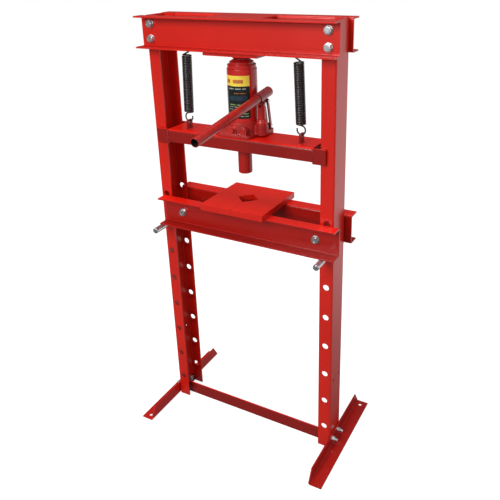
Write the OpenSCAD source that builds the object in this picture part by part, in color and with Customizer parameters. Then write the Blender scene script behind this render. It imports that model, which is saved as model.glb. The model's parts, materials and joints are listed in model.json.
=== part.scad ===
// Floor-standing workshop press. A bolted channel frame carries a bed on two support pins, and a
// sprung carriage with a hydraulic bottle jack, which pushes up against the crossmember.
// X runs to the right, Y to the back and Z up. The origin is on the floor, midway between the
// uprights. Every size is in millimetres.

/* [Frame] */
// Height of the frame
frame_h = 1318; // [1300:1:1650]
// Width over the outer faces of the uprights
frame_w = 584; // [486:1:720]
// Depth of an upright, front to back
upright_depth = 84; // [84:0.2:110]
// Width of the flanges of an upright
upright_flange = 40; // [38:1:60]
// Wall of an upright
upright_wall = 4; // [3:0.5:4]
// Inside radius of every fold
fold_r = 2; // [1:0.5:2]

/* [Channels of the crossmember and bed] */
// Height of a channel
channel_h = 88; // [80:1:110]
// Width of the flanges of a channel
channel_flange = 40; // [30:1:60]
// Wall of a channel
channel_wall = 4.5; // [3:0.5:6]
// Length of the crossmember past the outer face of each upright
crossmember_overhang = 10; // [0:1:40]
// Distance of the bed's left end inside the outer face of the left upright
bed_left_inset = 16; // [0:1:24]
// Length of the bed past the outer face of the right upright
bed_right_overhang = 20; // [0:1:40]
// Side clearance of the bed on the uprights
bed_gap = 1.5; // [0.5:0.1:3]

/* [Height adjustment] */
// Number of pin holes in each flange
hole_count = 8; // [7:1:9]
// Distance between pin holes
hole_pitch = 100; // [80:1:105]
// Height of the lowest pin hole
hole_first_z = 80; // [70:1:120]
// Distance from a pin hole to the outer face of its upright
hole_inset = 20; // [18:1:24]
// Diameter of a support pin
pin_d = 18; // [12:0.1:22]
// Length of a support pin
pin_len = 230; // [200:1:300]
// Radial clearance of a support pin in its holes
pin_clearance = 0.5; // [0.2:0.1:1]
// Hole that holds the bed's pins, counted from the floor
bed_hole = 7; // [5:1:7]

/* [Plates] */
// Thickness of the plate that the jack pushes against
head_plate_t = 10; // [8:1:16]
// Half width of the head plate
head_plate_x = 84; // [70:1:100]
// Half depth of the head plate
head_plate_y = 70; // [50:1:80]
// Thickness of the plate on top of the crossmember
top_plate_t = 5; // [3:1:8]
// Half width of the top plate
top_plate_x = 85; // [60:1:120]
// Thickness of the arbor plates
arbor_t = 18; // [10:1:25]
// Half width of the pair of arbor plates
arbor_x = 103.5; // [80:0.5:120]
// Half depth of the arbor plates
arbor_y = 102; // [90:1:120]
// Half diagonal of the hole that their notches form
arbor_notch = 34; // [20:1:45]
// Seam between the arbor plates
arbor_seam = 0.4; // [0.2:0.1:2]

/* [Bolts] */
// Diameter of the bolts of the crossmember and bed
bolt_d = 12; // [10:1:14]
// Diameter of the bolts of the feet
foot_bolt_d = 10; // [8:1:10]
// Radial clearance of a bolt in its hole
bolt_clearance = 0.5; // [0.2:0.1:1]
// Height of the lower bolts above the bottom of the crossmember
bolt_low = 24; // [18:1:30]
// Height of the upper bolts above the bottom of the crossmember
bolt_high = 65; // [54:1:70]
// Thickness of a washer
washer_t = 2.5; // [1.5:0.5:3]

/* [Feet] */
// Length of a foot
foot_len = 406; // [360:1:480]
// Height of the upright leg of a foot
foot_h = 44; // [38:1:60]
// Width of the flat leg of a foot
foot_w = 42; // [36:1:60]
// Wall of a foot
foot_wall = 4; // [3:0.5:6]
// Length of the corner cuts of a foot
foot_cut_y = 22; // [10:1:40]
// Height of the corner cuts of a foot
foot_cut_z = 37; // [20:1:40]
// Diameter of an anchor hole
anchor_d = 11; // [8:0.5:14]
// Distance from an anchor hole to the end of its foot
anchor_inset_y = 18; // [14:1:30]
// Distance from an anchor hole to the outer face of the upright
anchor_inset_x = 20; // [16:1:28]
// Height of the foot bolts
foot_bolt_z = 28; // [20:1:30]
// Distance of the rear foot bolts behind the middle
foot_bolt_rear = 16; // [10:1:24]
// Length of a foot bolt's thread past its nut
foot_bolt_end = 10; // [2:1:16]

/* [Base spreader] */
// Height of the spreader
spreader_h = 43; // [36:1:60]
// Wall of the spreader
spreader_wall = 4; // [3:0.5:5]
// Distance of its front face in front of the middle
spreader_front = 20; // [18:1:20]
// Distance of its lugs' ends behind the middle
spreader_lug = 36; // [34:1:37]

/* [Carriage] */
// Height of the carriage beam
carriage_h = 38; // [30:1:50]
// Wall of the carriage beam
carriage_wall = 5; // [3:0.5:6]
// Distance from the left end of the carriage beam to the left upright
carriage_left_gap = 12; // [4:1:20]
// Distance from the right end of the carriage beam to the right upright
carriage_right_gap = 20; // [4:1:24]
// Thickness of a guide plate
guide_t = 5; // [3:0.5:8]
// Length of a guide plate, from the end of the beam
guide_w = 38; // [32:1:46]
// Side clearance of the guide plates on the uprights
guide_gap = 4.5; // [0.5:0.5:6]
// Height of a guide plate
guide_h = 43; // [38:1:60]
// Diameter of the ram
ram_d = 41; // [30:1:50]
// Length of the ram below the beam
ram_len = 77; // [50:1:90]

/* [Return springs] */
// Outside diameter of a spring
spring_d = 29; // [24:0.5:30]
// Diameter of the spring wire
wire_d = 3.6; // [2.6:0.1:4]
// Distance of the springs in front of the middle
spring_y = 15; // [12:1:20]
// Distance from the top of a spring to the inner edge of its upright
spring_inset = 77; // [60:1:100]
// Distance that the bottom of a spring is nearer its upright than its top
spring_splay = 9; // [0:1:20]
// Straight wire between the ring of the lower hook and the coil
lower_neck = 2; // [2:0.5:8]
// Straight wire between the ring of the upper hook and the coil
upper_neck = 7; // [2:0.5:12]
// Thickness of the tabs and ears that hold the springs
tab_t = 5; // [3:0.5:6]
// Width of a tab
tab_w = 25; // [20:1:30]
// Height of a tab
tab_h = 28; // [26:1:36]
// Distance from the hook's hole to the top of its tab
tab_hole_drop = 6.5; // [6:0.5:8]
// Distance from the hook's hole to the spare hole below it
tab_hole_pitch = 11; // [9:1:12]

/* [Bottle jack] */
// Distance of the jack's axis from the middle of the frame
jack_x = -5; // [-20:1:0]
// Height of the base casting
jack_base_h = 42; // [38:1:50]
// Height of the tank
tank_h = 147; // [120:1:170]
// Diameter of the tank
tank_d = 84; // [70:1:101]
// Height of the tank cap
cap_h = 24; // [22:1:30]
// Distance from the side of the cap's ring to the side of the tank
cap_inset = 2; // [1:0.5:4]
// Height of the saddle
saddle_h = 13; // [10:1:16]
// Diameter of the saddle
saddle_d = 56; // [44:1:62]
// Diameter of the piston
piston_d = 38; // [30:1:42]
// Distance between the cap and the saddle
piston_show = 1; // [1:1:20]
// Radial clearance of the piston, plunger, pins and valve in their bores
running_gap = 0.05; // [0.03:0.01:0.1]

/* [Pump] */
// Distance from the side of the tank to the pump's axis
pump_gap = 17.5; // [17.5:0.5:26]
// Diameter of the pump barrel
barrel_d = 32; // [30:1:33]
// Top of the pump barrel above the carriage
barrel_top = 49; // [44:1:54]
// Diameter of the plunger
plunger_d = 22; // [19:0.5:22]
// Height of the plunger's pin above the carriage
plunger_pin_z = 92.5; // [90:0.5:100]
// Diameter of the linkage pins
link_pin_d = 7; // [6:0.5:7]
// Distance from the plunger's pin to the link's upper pin
pump_arm = 25; // [24:0.5:28]
// Distance between the link's pins
link_len = 74; // [72:0.5:76]
// Lean of the link
link_lean = 11; // [8:0.5:12]
// Play of the link's upper pin, all round
link_play = 1; // [0.8:0.1:1.2]
// Thickness of the lugs between the link's straps
lug_t = 7; // [6:0.5:8]
// Thickness of a strap of the link
strap_t = 4; // [3:0.5:4]
// Radius of the rounded ends of the linkage
eye_r = 6.4; // [6:0.1:6.5]

/* [Handle] */
// Slope of the handle, down to the front
handle_tilt = 8; // [0:0.5:12]
// Outside diameter of the handle tube
handle_d = 24; // [18:0.5:26]
// Wall of the handle tube
handle_wall = 1.5; // [1:0.25:3]
// Length of the handle tube
handle_len = 362; // [200:1:500]
// Wall of the socket
socket_wall = 1.95; // [1.5:0.05:3]
// Length of the socket
socket_len = 64; // [46:1:70]
// Distance from the socket's axis to the plunger's pin
socket_rise = 21; // [20.5:0.5:24]

/* [Hidden] */

$fn = 48;
cut = 1;                                    // cuts reach this far past a face
rest_gap = 0.3;                             // between a round pin and what rests on it
hex_across = 1.58;                          // hexagon head across its flats, in bolt diameters
head_gap = 0.1;                             // between a foot bolt's head and the spreader
paint = [0.80, 0.07, 0.05];
zinc = [0.78, 0.79, 0.80];
spring_black = [0.07, 0.07, 0.08];
jack_red = [0.74, 0.06, 0.05];

upright_x = frame_w / 2;                    // outer face of an upright
inner_x = upright_x - upright_flange;       // inner edge of an upright's flanges
upright_y = upright_depth / 2;              // face of an upright's flange
pin_x = upright_x - hole_inset;
pin_hole_d = pin_d + 2 * pin_clearance;
pin_z = hole_first_z + (bed_hole - 1) * hole_pitch;
bolt_hole_d = bolt_d + 2 * bolt_clearance;
foot_hole_d = foot_bolt_d + 2 * bolt_clearance;
foot_bolt_front = spreader_front + hex_across * foot_bolt_d / 2 + head_gap;
bolt_x = pin_x;
crossmember_z = frame_h - channel_h;
bolt_heights = [crossmember_z + bolt_low, crossmember_z + bolt_high];
head_z = crossmember_z - head_plate_t;

bed_y = upright_y + bed_gap;                // inner face of a bed channel's web
bed_z = pin_z + pin_d / 2 + rest_gap;
bed_top = bed_z + channel_h;
bed_left = -upright_x + bed_left_inset;
bed_right = upright_x + bed_right_overhang;
spacer_d = bolt_d + 5;
tie_side_gap = 1.5;                         // right spacer to the edge of the right upright
tie_left_inset = 44;                        // left tie bolt to the edge of the left upright
tie_x = [-inner_x + tie_left_inset, inner_x - spacer_d / 2 - tie_side_gap];
tie_drop = 3;                               // tie bolts below the middle of the channels
tie_z = bed_z + channel_h / 2 - tie_drop;

jack_h = jack_base_h + tank_h + cap_h + piston_show + saddle_h;
deck_z = head_z - jack_h;                   // top of the carriage
carriage_left = -inner_x + carriage_left_gap;
carriage_right = inner_x - carriage_right_gap;
carriage_y = upright_y + guide_gap + guide_t;   // outer faces of the beam and of its guides

ear_x = inner_x - spring_inset;
tab_x = ear_x + spring_splay;
tab_hole_d = 2 * wire_d + 0.6;
tab_hole_z = deck_z + tab_h - tab_hole_drop;
ear_w = tab_w / 2 + upright_y - spring_y;   // from the channel's web to past the hook
ear_h = 26;
ear_z = crossmember_z + ear_h / 2;
hook_rest = 0.6;                            // between the wire and the top of its hole
hook_seat = (tab_hole_d - wire_d) / 2 - hook_rest;
hook_r = (spring_d - wire_d) / 2;           // to the middle of the wire
spring_low = tab_hole_z + hook_seat;        // middle of the wire in the tab
spring_high = ear_z - hook_seat;            // middle of the wire in the ear
spring_span = norm([spring_splay, spring_high - spring_low]);
spring_angle = atan(spring_splay / (spring_high - spring_low));
ring_start = 110;                           // angle at which a hook's ring leaves its neck
ring_end = hook_r * (1 + sin(ring_start));  // from the seat to the end of the ring
hook_len = [ring_end + lower_neck - wire_d / 2, ring_end + upper_neck - wire_d / 2];
turns = floor((spring_span - hook_len[0] - hook_len[1]) / wire_d);
coil_slack = (spring_span - hook_len[0] - hook_len[1] - turns * wire_d) / 2;
coil_start = [for (len = hook_len) len + coil_slack];   // seat to coil, at each end

cap_d = tank_d - 2 * cap_inset;
pump_x = tank_d / 2 + pump_gap;             // from the jack's axis
px = jack_x + pump_x;
pz = deck_z + plunger_pin_z;
link_top = [pump_arm * cos(handle_tilt), pz + pump_arm * sin(handle_tilt)];
link_bottom = [link_top[0] + link_len * sin(link_lean), link_top[1] - link_len * cos(link_lean)];
socket_r = handle_d / 2 + running_gap + socket_wall;
socket_front = 18;                          // front end of the socket, ahead of the plunger's pin
handle_inset = 8;                           // rear end of the handle, inside the socket
valve_x = -6.5;                             // release valve, from the jack's axis
valve_plug_x = 26;                          // valve plug, from the jack's axis
valve_z = 22.5;
valve_d = 8;
valve_y = tank_d / 2 + 8;                   // front ends of the bosses, from the jack's axis

// ---------------------------------------------------------------- shapes

// Outline of a folded sheet's outside, with its back on x = 0 and its flanges toward -x
module folded_outline(flange, h, r) {
    translate([-flange, -h / 2]) square([flange - r, h]);
    translate([-r, r - h / 2]) square([r, h - 2 * r]);
    for (s = [-1, 1]) translate([-r, s * (h / 2 - r)]) circle(r);
}

// Section of a folded channel
module channel_section(flange, h, wall) {
    difference() {
        folded_outline(flange, h, fold_r + wall);
        translate([-wall, 0]) folded_outline(flange, h - 2 * wall, fold_r);
    }
}

// Section of a folded angle, with its corner at the origin and its legs along +x and +y
module angle_section(leg_x, leg_y, wall) {
    r = fold_r + wall;
    translate([r, 0]) square([leg_x - r, wall]);
    translate([0, r]) square([wall, leg_y - r]);
    intersection() {
        difference() {
            translate([r, r]) circle(r);
            translate([r, r]) circle(fold_r);
        }
        square(r);
    }
}

// Rounded rectangle, centred
module round_rect(w, h, r) {
    square([w - 2 * r, h], center = true);
    square([w, h - 2 * r], center = true);
    for (x = [-1, 1], y = [-1, 1]) translate([x * (w / 2 - r), y * (h / 2 - r)]) circle(r);
}

module x_rod(d, len) { rotate([0, 90, 0]) cylinder(d = d, h = len, center = true); }
module y_rod(d, len) { rotate([90, 0, 0]) cylinder(d = d, h = len, center = true); }

// Turns its children so that a section in x and y lies in Y and Z and runs along +X
module along_x() { rotate([90, 0, 90]) children(); }

// Hexagon bolt. Its seat is at z = 0, the head is above and the shank below.
module hex_bolt(d, shank) {
    across = d * hex_across;
    head = d * 0.63;
    intersection() {
        cylinder(d = across / cos(30), h = head, $fn = 6);
        cylinder(r1 = across / 2 + head, r2 = across / 2 * 1.03, h = head);
    }
    translate([0, 0, -shank]) cylinder(d = d, h = shank + cut);
}

// Hexagon nut, seated on z = 0 with its chamfered side up
module hex_nut(d, across, h) {
    difference() {
        intersection() {
            cylinder(d = across / cos(30), h = h, $fn = 6);
            cylinder(r1 = across / 2 + h, r2 = across / 2 * 1.03, h = h);
        }
        translate([0, 0, -cut]) cylinder(d = d + 2 * running_gap, h = h + 2 * cut);
    }
}

module washer(d) {
    difference() {
        cylinder(d = 2 * d, h = washer_t);
        translate([0, 0, -cut]) cylinder(d = d + 2 * bolt_clearance, h = washer_t + 2 * cut);
    }
}

// ---------------------------------------------------------------- frame

spare_hole_d = 8;                           // two small holes in each upright's web
spare_hole_y = 21;
spare_hole_z = 249;

module upright() {
    difference() {
        translate([upright_x, 0, 0])
            linear_extrude(frame_h) channel_section(upright_flange, upright_depth, upright_wall);
        for (i = [0:hole_count - 1])
            translate([pin_x, 0, hole_first_z + i * hole_pitch])
                y_rod(pin_hole_d, upright_depth + 2 * cut);
        for (z = bolt_heights)
            translate([bolt_x, 0, z]) y_rod(bolt_hole_d, upright_depth + 2 * cut);
        for (y = [-foot_bolt_front, foot_bolt_rear])
            translate([upright_x, y, foot_bolt_z]) x_rod(foot_hole_d, 4 * upright_wall);
        for (y = [-1, 1])
            translate([upright_x, y * spare_hole_y, spare_hole_z])
                x_rod(spare_hole_d, 4 * upright_wall);
    }
}

module upright_left() { color(paint) mirror([1, 0, 0]) upright(); }
module upright_right() { color(paint) upright(); }

module crossmember_channel() {
    difference() {
        translate([-upright_x - crossmember_overhang, -upright_y, crossmember_z + channel_h / 2])
            along_x() linear_extrude(frame_w + 2 * crossmember_overhang)
                channel_section(channel_flange, channel_h, channel_wall);
        for (x = [-bolt_x, bolt_x], z = bolt_heights)
            translate([x, -upright_y, z]) y_rod(bolt_hole_d, 4 * channel_wall);
    }
}
module crossmember_front() { color(paint) crossmember_channel(); }
module crossmember_rear() { color(paint) mirror([0, 1, 0]) crossmember_channel(); }

module top_plate() {
    color(paint) translate([-top_plate_x, -upright_y, frame_h - top_plate_t])
        cube([2 * top_plate_x, upright_depth, top_plate_t]);
}

module head_plate() {
    color(paint) translate([-head_plate_x, -head_plate_y, head_z])
        cube([2 * head_plate_x, 2 * head_plate_y, head_plate_t]);
}

// Puts its children at each bolt of the crossmember, on the face of the channel's web
module at_crossmember_bolts() {
    for (face = [-1, 1], x = [-bolt_x, bolt_x], z = bolt_heights)
        translate([x, face * (upright_y + channel_wall), z]) rotate([-90 * face, 0, 0]) children();
}
crossmember_grip = channel_wall + upright_wall;
nut_h = 10;

module crossmember_bolts() {
    color(zinc) at_crossmember_bolts()
        translate([0, 0, washer_t]) hex_bolt(bolt_d, washer_t + crossmember_grip + nut_h + 2);
}
module crossmember_washers() { color(zinc) at_crossmember_bolts() washer(bolt_d); }
module crossmember_nuts() {
    color(zinc) at_crossmember_bolts()
        translate([0, 0, -crossmember_grip]) mirror([0, 0, 1]) hex_nut(bolt_d, 18, nut_h);
}

module spring_ear() {
    difference() {
        translate([-tab_t / 2, -upright_y, ear_z - ear_h / 2]) cube([tab_t, ear_w, ear_h]);
        translate([0, -spring_y, ear_z]) x_rod(tab_hole_d, 2 * tab_t);
    }
}
module spring_ears() { color(paint) for (x = [-ear_x, ear_x]) translate([x, 0, 0]) spring_ear(); }

// ---------------------------------------------------------------- feet

// Right foot. Its anchor hole is at the end that anchor_end gives: -1 for the front, 1 for the rear.
module foot(anchor_end) {
    difference() {
        translate([upright_x, foot_len / 2, 0]) rotate([90, 0, 0])
            linear_extrude(foot_len) angle_section(foot_w, foot_h, foot_wall);
        translate([upright_x + anchor_inset_x, anchor_end * (foot_len / 2 - anchor_inset_y), 0])
            cylinder(d = anchor_d, h = 4 * foot_wall, center = true);
        for (y = [-1, 1])
            translate([upright_x + foot_wall / 2, 0, 0]) scale([1, y, 1]) foot_corner();
        for (y = [-foot_bolt_front, foot_bolt_rear])
            translate([upright_x, y, foot_bolt_z]) x_rod(foot_hole_d, 4 * foot_wall);
    }
}

// Cuts the upper corner off the end of a foot's upright leg
module foot_corner() {
    along_x() linear_extrude(2 * foot_wall, center = true) polygon([
        [foot_len / 2 - foot_cut_y, foot_h + cut],
        [foot_len / 2 - foot_cut_y, foot_h],
        [foot_len / 2, foot_h - foot_cut_z],
        [foot_len / 2 + cut, foot_h - foot_cut_z],
        [foot_len / 2 + cut, foot_h + cut]
    ]);
}
module foot_left() { color(paint) mirror([1, 0, 0]) foot(-1); }
module foot_right() { color(paint) foot(1); }

// Puts its children at each foot bolt, on the outside of the foot, with what the bolt grips
module at_foot_bolts() {
    for (side = [0, 1]) mirror([side, 0, 0]) {
        $grip = foot_wall + upright_wall;
        translate([upright_x + foot_wall, -foot_bolt_front, foot_bolt_z]) rotate([0, 90, 0])
            children();
    }
    for (side = [0, 1]) mirror([side, 0, 0]) {
        $grip = foot_wall + upright_wall + spreader_wall;
        translate([upright_x + foot_wall, foot_bolt_rear, foot_bolt_z]) rotate([0, 90, 0])
            children();
    }
}
foot_nut_h = 8;

// The heads are inside the frame and the nuts outside
module foot_bolts() {
    color(zinc) at_foot_bolts() translate([0, 0, -$grip]) mirror([0, 0, 1])
        hex_bolt(foot_bolt_d, $grip + foot_nut_h + foot_bolt_end);
}
module foot_nuts() { color(zinc) at_foot_bolts() hex_nut(foot_bolt_d, 16, foot_nut_h); }

module base_spreader() {
    color(paint) difference() {
        translate([0, -spreader_front, 0]) rotate([0, 0, -90]) linear_extrude(spreader_h)
            channel_section(spreader_front + spreader_lug, 2 * (upright_x - upright_wall),
                            spreader_wall);
        for (x = [-1, 1])
            translate([x * (upright_x - upright_wall), foot_bolt_rear, foot_bolt_z])
                x_rod(foot_hole_d, 4 * spreader_wall);
    }
}

// ---------------------------------------------------------------- bed

module bed_channel() {
    difference() {
        translate([bed_left, -bed_y, bed_z + channel_h / 2])
            along_x() linear_extrude(bed_right - bed_left)
                channel_section(channel_flange, channel_h, channel_wall);
        for (x = tie_x) translate([x, -bed_y, tie_z]) y_rod(bolt_hole_d, 4 * channel_wall);
    }
}
module bed_channel_front() { color(paint) bed_channel(); }
module bed_channel_rear() { color(paint) mirror([0, 1, 0]) bed_channel(); }

bed_face = bed_y + channel_wall;

module bed_tie_bolts() {
    color(zinc) for (x = tie_x)
        translate([x, -bed_face - washer_t, tie_z]) rotate([90, 0, 0])
            hex_bolt(bolt_d, 2 * (bed_face + washer_t) + nut_h + 3);
}
module bed_tie_washers() {
    color(zinc) for (x = tie_x, face = [-1, 1])
        translate([x, face * bed_face, tie_z]) rotate([-90 * face, 0, 0]) washer(bolt_d);
}
module bed_tie_nuts() {
    color(zinc) for (x = tie_x)
        translate([x, bed_face + washer_t, tie_z]) rotate([-90, 0, 0]) hex_nut(bolt_d, 18, nut_h);
}
module bed_spacers() {
    color(paint) for (x = tie_x) translate([x, 0, tie_z]) difference() {
        y_rod(spacer_d, 2 * bed_y);
        y_rod(bolt_hole_d, 2 * bed_y + 2 * cut);
    }
}

// The right arbor plate, with its notch
module arbor_plate() {
    translate([0, 0, bed_top]) difference() {
        translate([arbor_seam / 2, -arbor_y, 0])
            cube([arbor_x - arbor_seam / 2, 2 * arbor_y, arbor_t]);
        rotate([0, 0, 45]) cube([arbor_notch * sqrt(2), arbor_notch * sqrt(2), 3 * arbor_t],
                                center = true);
    }
}
module arbor_plate_left() { color(paint) mirror([1, 0, 0]) arbor_plate(); }
module arbor_plate_right() { color(paint) arbor_plate(); }

pin_chamfer = 1.5;
module support_pin() {
    translate([pin_x, 0, pin_z]) rotate([90, 0, 0]) {
        cylinder(d = pin_d, h = pin_len - 2 * pin_chamfer, center = true);
        for (s = [0, 1]) mirror([0, 0, s]) translate([0, 0, pin_len / 2 - pin_chamfer])
            cylinder(d1 = pin_d, d2 = pin_d - 2 * pin_chamfer, h = pin_chamfer);
    }
}
module support_pin_left() { color(zinc) mirror([1, 0, 0]) support_pin(); }
module support_pin_right() { color(zinc) support_pin(); }

// ---------------------------------------------------------------- carriage

module carriage_beam() {
    color(paint) translate([carriage_right, 0, deck_z]) rotate([0, -90, 0])
        linear_extrude(carriage_right - carriage_left)
            channel_section(carriage_h, 2 * carriage_y, carriage_wall);
}

// The two guide plates whose left end is at x, flush with the sides of the beam
module guides(x) {
    for (face = [0, 1]) mirror([0, face, 0])
        translate([x, -carriage_y, deck_z - guide_h]) cube([guide_w, guide_t, guide_h]);
}
module carriage_guides_left() { color(paint) guides(carriage_left - guide_w); }
module carriage_guides_right() { color(paint) guides(carriage_right); }

tab_corner = 4;
spare_tab_hole_d = 5;
module spring_tab() {
    difference() {
        translate([-tab_t / 2, -spring_y, deck_z]) along_x() linear_extrude(tab_t) {
            translate([-tab_w / 2, 0]) square([tab_w, tab_h - tab_corner]);
            translate([0, tab_h / 2]) round_rect(tab_w, tab_h, tab_corner);
        }
        translate([0, -spring_y, tab_hole_z]) x_rod(tab_hole_d, 2 * tab_t);
        translate([0, -spring_y, tab_hole_z - tab_hole_pitch]) x_rod(spare_tab_hole_d, 2 * tab_t);
    }
}
module spring_tabs() { color(paint) for (x = [-tab_x, tab_x]) translate([x, 0, 0]) spring_tab(); }

ram_edge = 2;
module ram() {
    color(paint) translate([jack_x, 0, deck_z - carriage_wall]) mirror([0, 0, 1]) {
        cylinder(d = ram_d, h = carriage_h - carriage_wall + ram_len - ram_edge);
        translate([0, 0, carriage_h - carriage_wall + ram_len - ram_edge])
            cylinder(d1 = ram_d, d2 = ram_d - 2 * ram_edge, h = ram_edge);
    }
}

// ---------------------------------------------------------------- springs

// Open hook in the XZ plane. The middle of its wire crosses the spring's axis at the origin, and
// it ends in the coil's first turn, which begins at start.
module hook(start) {
    gap_angle = 20;
    neck_x = hook_r * cos(ring_start);
    rotate([90, 0, 0]) {
        translate([0, hook_r, 0]) rotate([0, 0, ring_start])
            rotate_extrude(angle = 360 + gap_angle - ring_start)
                translate([hook_r, 0]) circle(d = wire_d);
        translate([neck_x, ring_end, 0]) sphere(d = wire_d);
        translate([neck_x, ring_end, 0]) rotate([-90, 0, 0])
            cylinder(d = wire_d, h = start + wire_d / 2 - ring_end);
        translate([neck_x, start + wire_d / 2, 0]) {
            sphere(d = wire_d);
            rotate([0, -90, 0]) cylinder(d = wire_d, h = hook_r + neck_x);
        }
    }
}

// Close-wound spring between a tab and an ear, with its lower hook at the origin
module spring() {
    bite = 0.03;                            // neighbouring turns share this much
    rotate_extrude() for (i = [0:turns - 1])
        translate([hook_r, coil_start[0] + (i + 0.5) * wire_d]) circle(r = wire_d / 2 + bite);
    hook(coil_start[0]);
    translate([0, 0, spring_span]) rotate([0, 180, 0]) hook(coil_start[1]);
}
module placed_spring() {
    translate([tab_x, -spring_y, spring_low]) rotate([0, -spring_angle, 0]) mirror([1, 0, 0])
        spring();
}
module spring_left() { color(spring_black) mirror([1, 0, 0]) placed_spring(); }
module spring_right() { color(spring_black) placed_spring(); }

// ---------------------------------------------------------------- bottle jack

flange_left = tank_d / 2 + 34;              // casting's foot, to the left of the jack's axis
flange_right = tank_d / 2 + 4;              // casting's foot, to the right of the jack's axis
flange_y = valve_y + 1;                     // half depth of the casting's foot
flange_h = 9;
left_corner_r = 30;
right_corner_r = 8;
block_r = tank_d / 2 + 4;                   // casting under the tank
shoulder_drop = 11;                         // top of the casting's slope below the tank
slope_inset = 4;                            // slope inside the outline of the foot
front_boss_r = 9.5;
front_boss_len = 22;
boss_d = barrel_d + 2;
boss_z = 4.4;                               // bottom of the pump's boss
boss_h = 36;                                // top of the pump's boss
arm_h = 30;
gland_d = barrel_d - 4;                     // part of the barrel inside the casting
gland_depth = 28;                           // how deep the barrel is let into the casting
lug_base_h = 15;
lug_base_x = 12;                            // casting under the link, past the pump's axis
valve_depth = 20;

// Outline of the casting's foot from above, made smaller by inset all round
module casting_outline(inset) {
    left = inset - flange_left;
    right = flange_right - inset;
    half = flange_y - inset;
    left_r = left_corner_r - inset;
    right_r = right_corner_r - inset;
    translate([left + left_r, -half]) square([right - right_r - left - left_r, 2 * half]);
    translate([left, left_r - half]) square([left_r, 2 * (half - left_r)]);
    translate([right - right_r, right_r - half]) square([right_r, 2 * (half - right_r)]);
    for (y = [-1, 1]) {
        translate([left + left_r, y * (half - left_r)]) circle(left_r);
        translate([right - right_r, y * (half - right_r)]) circle(right_r);
    }
}

// Arched boss on the front of the casting
module front_boss(x) {
    translate([x, front_boss_len - valve_y, valve_z]) rotate([90, 0, 0])
        linear_extrude(front_boss_len) {
            circle(r = front_boss_r);
            translate([-front_boss_r, -valve_z + flange_h / 2])
                square([2 * front_boss_r, valve_z - flange_h / 2]);
        }
}

module jack_base() {
    shoulder_h = jack_base_h - shoulder_drop;
    color(jack_red) translate([jack_x, 0, deck_z]) difference() {
        union() {
            linear_extrude(flange_h) casting_outline(0);
            intersection() {
                linear_extrude(jack_base_h) casting_outline(slope_inset);
                rotate([90, 0, 0]) linear_extrude(2 * flange_y, center = true)
                    polygon([[-flange_left, 0], [-flange_left, flange_h],
                             [-tank_d / 2, shoulder_h], [0, shoulder_h], [0, 0]]);
            }
            cylinder(r = block_r, h = jack_base_h);
            translate([0, 2 - boss_d / 2, boss_z]) cube([pump_x, boss_d - 4, arm_h - boss_z]);
            translate([0, boss_d / 2 - 2, 0])
                cube([pump_x + lug_base_x, link_bottom[0] + eye_r + 3 - boss_d / 2, lug_base_h]);
            translate([pump_x, 0, boss_z]) cylinder(d = boss_d, h = boss_h - boss_z);
            base_lug();
            front_boss(valve_x);
            front_boss(valve_plug_x);
        }
        translate([pump_x, 0, boss_h - gland_depth])
            cylinder(d = gland_d + 2 * running_gap, h = gland_depth + cut);
        translate([pump_x, 0, boss_h]) cylinder(d = boss_d, h = jack_base_h);
        for (x = [valve_x, valve_plug_x])
            translate([x, -valve_y - cut, valve_z]) rotate([-90, 0, 0])
                cylinder(d = valve_d + 2 * running_gap, h = valve_depth + cut);
    }
}
// Lug of the casting that carries the link, in the casting's own place
module base_lug() {
    z = link_bottom[1] - deck_z;
    translate([pump_x - lug_t / 2, link_bottom[0], 0]) difference() {
        along_x() linear_extrude(lug_t) {
            translate([0, z]) circle(r = eye_r + 1);
            translate([-eye_r - 1, 0]) square([2 * eye_r + 2, z]);
        }
        translate([0, 0, z]) x_rod(link_pin_d + 2 * running_gap, 4 * lug_t);
    }
}

tank_round = 2;
tank_floor = 20;
plug_d = 8;
plug_depth = 6;
plug_drop = 22;
plug_head_h = 2;
module jack_tank() {
    bore_h = tank_h - tank_floor;
    color(jack_red) translate([jack_x, 0, deck_z + jack_base_h]) difference() {
        rotate_extrude() {
            square([tank_d / 2, tank_h - tank_round]);
            square([tank_d / 2 - tank_round, tank_h]);
            intersection() {
                translate([tank_d / 2 - tank_round, tank_h - tank_round]) circle(tank_round);
                square([tank_d, tank_h]);
            }
        }
        translate([0, 0, tank_h - bore_h]) cylinder(d = piston_d + 4, h = bore_h + cut);
        translate([0, tank_d / 2 - plug_depth, tank_h - plug_drop]) rotate([-90, 0, 0])
            cylinder(d = plug_d, h = plug_depth + cut);
    }
}
// Rubber plug of the oil filler, at the back of the tank
module filler_plug() {
    color(spring_black) translate([jack_x, tank_d / 2, deck_z + jack_base_h + tank_h - plug_drop])
        rotate([90, 0, 0]) {
            translate([0, 0, -plug_head_h])
                cylinder(d = plug_d - 2 * running_gap, h = plug_depth + plug_head_h);
            translate([0, 0, -plug_head_h]) cylinder(d = plug_d + 5, h = plug_head_h);
        }
}

// Cap of the tank: a ring with a chamfer, a collar and a cone round the piston
module jack_cap() {
    ring_h = 10.5;
    ring_edge = 1;
    collar_r = cap_d / 2 - 6;
    cone_h = 7;
    color(jack_red) translate([jack_x, 0, deck_z + jack_base_h + tank_h]) rotate_extrude()
        polygon([
            [piston_d / 2 + running_gap, 0], [cap_d / 2, 0], [cap_d / 2, ring_h - ring_edge],
            [cap_d / 2 - ring_edge, ring_h], [collar_r, ring_h], [collar_r, cap_h - cone_h],
            [piston_d / 2 + 3, cap_h], [piston_d / 2 + running_gap, cap_h]
        ]);
}

piston_reach = 95;                          // piston inside the jack when the carriage is up
module jack_piston() {
    color(zinc) translate([jack_x, 0, head_z - saddle_h - piston_show - piston_reach])
        cylinder(d = piston_d, h = piston_show + piston_reach);
}

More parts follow.
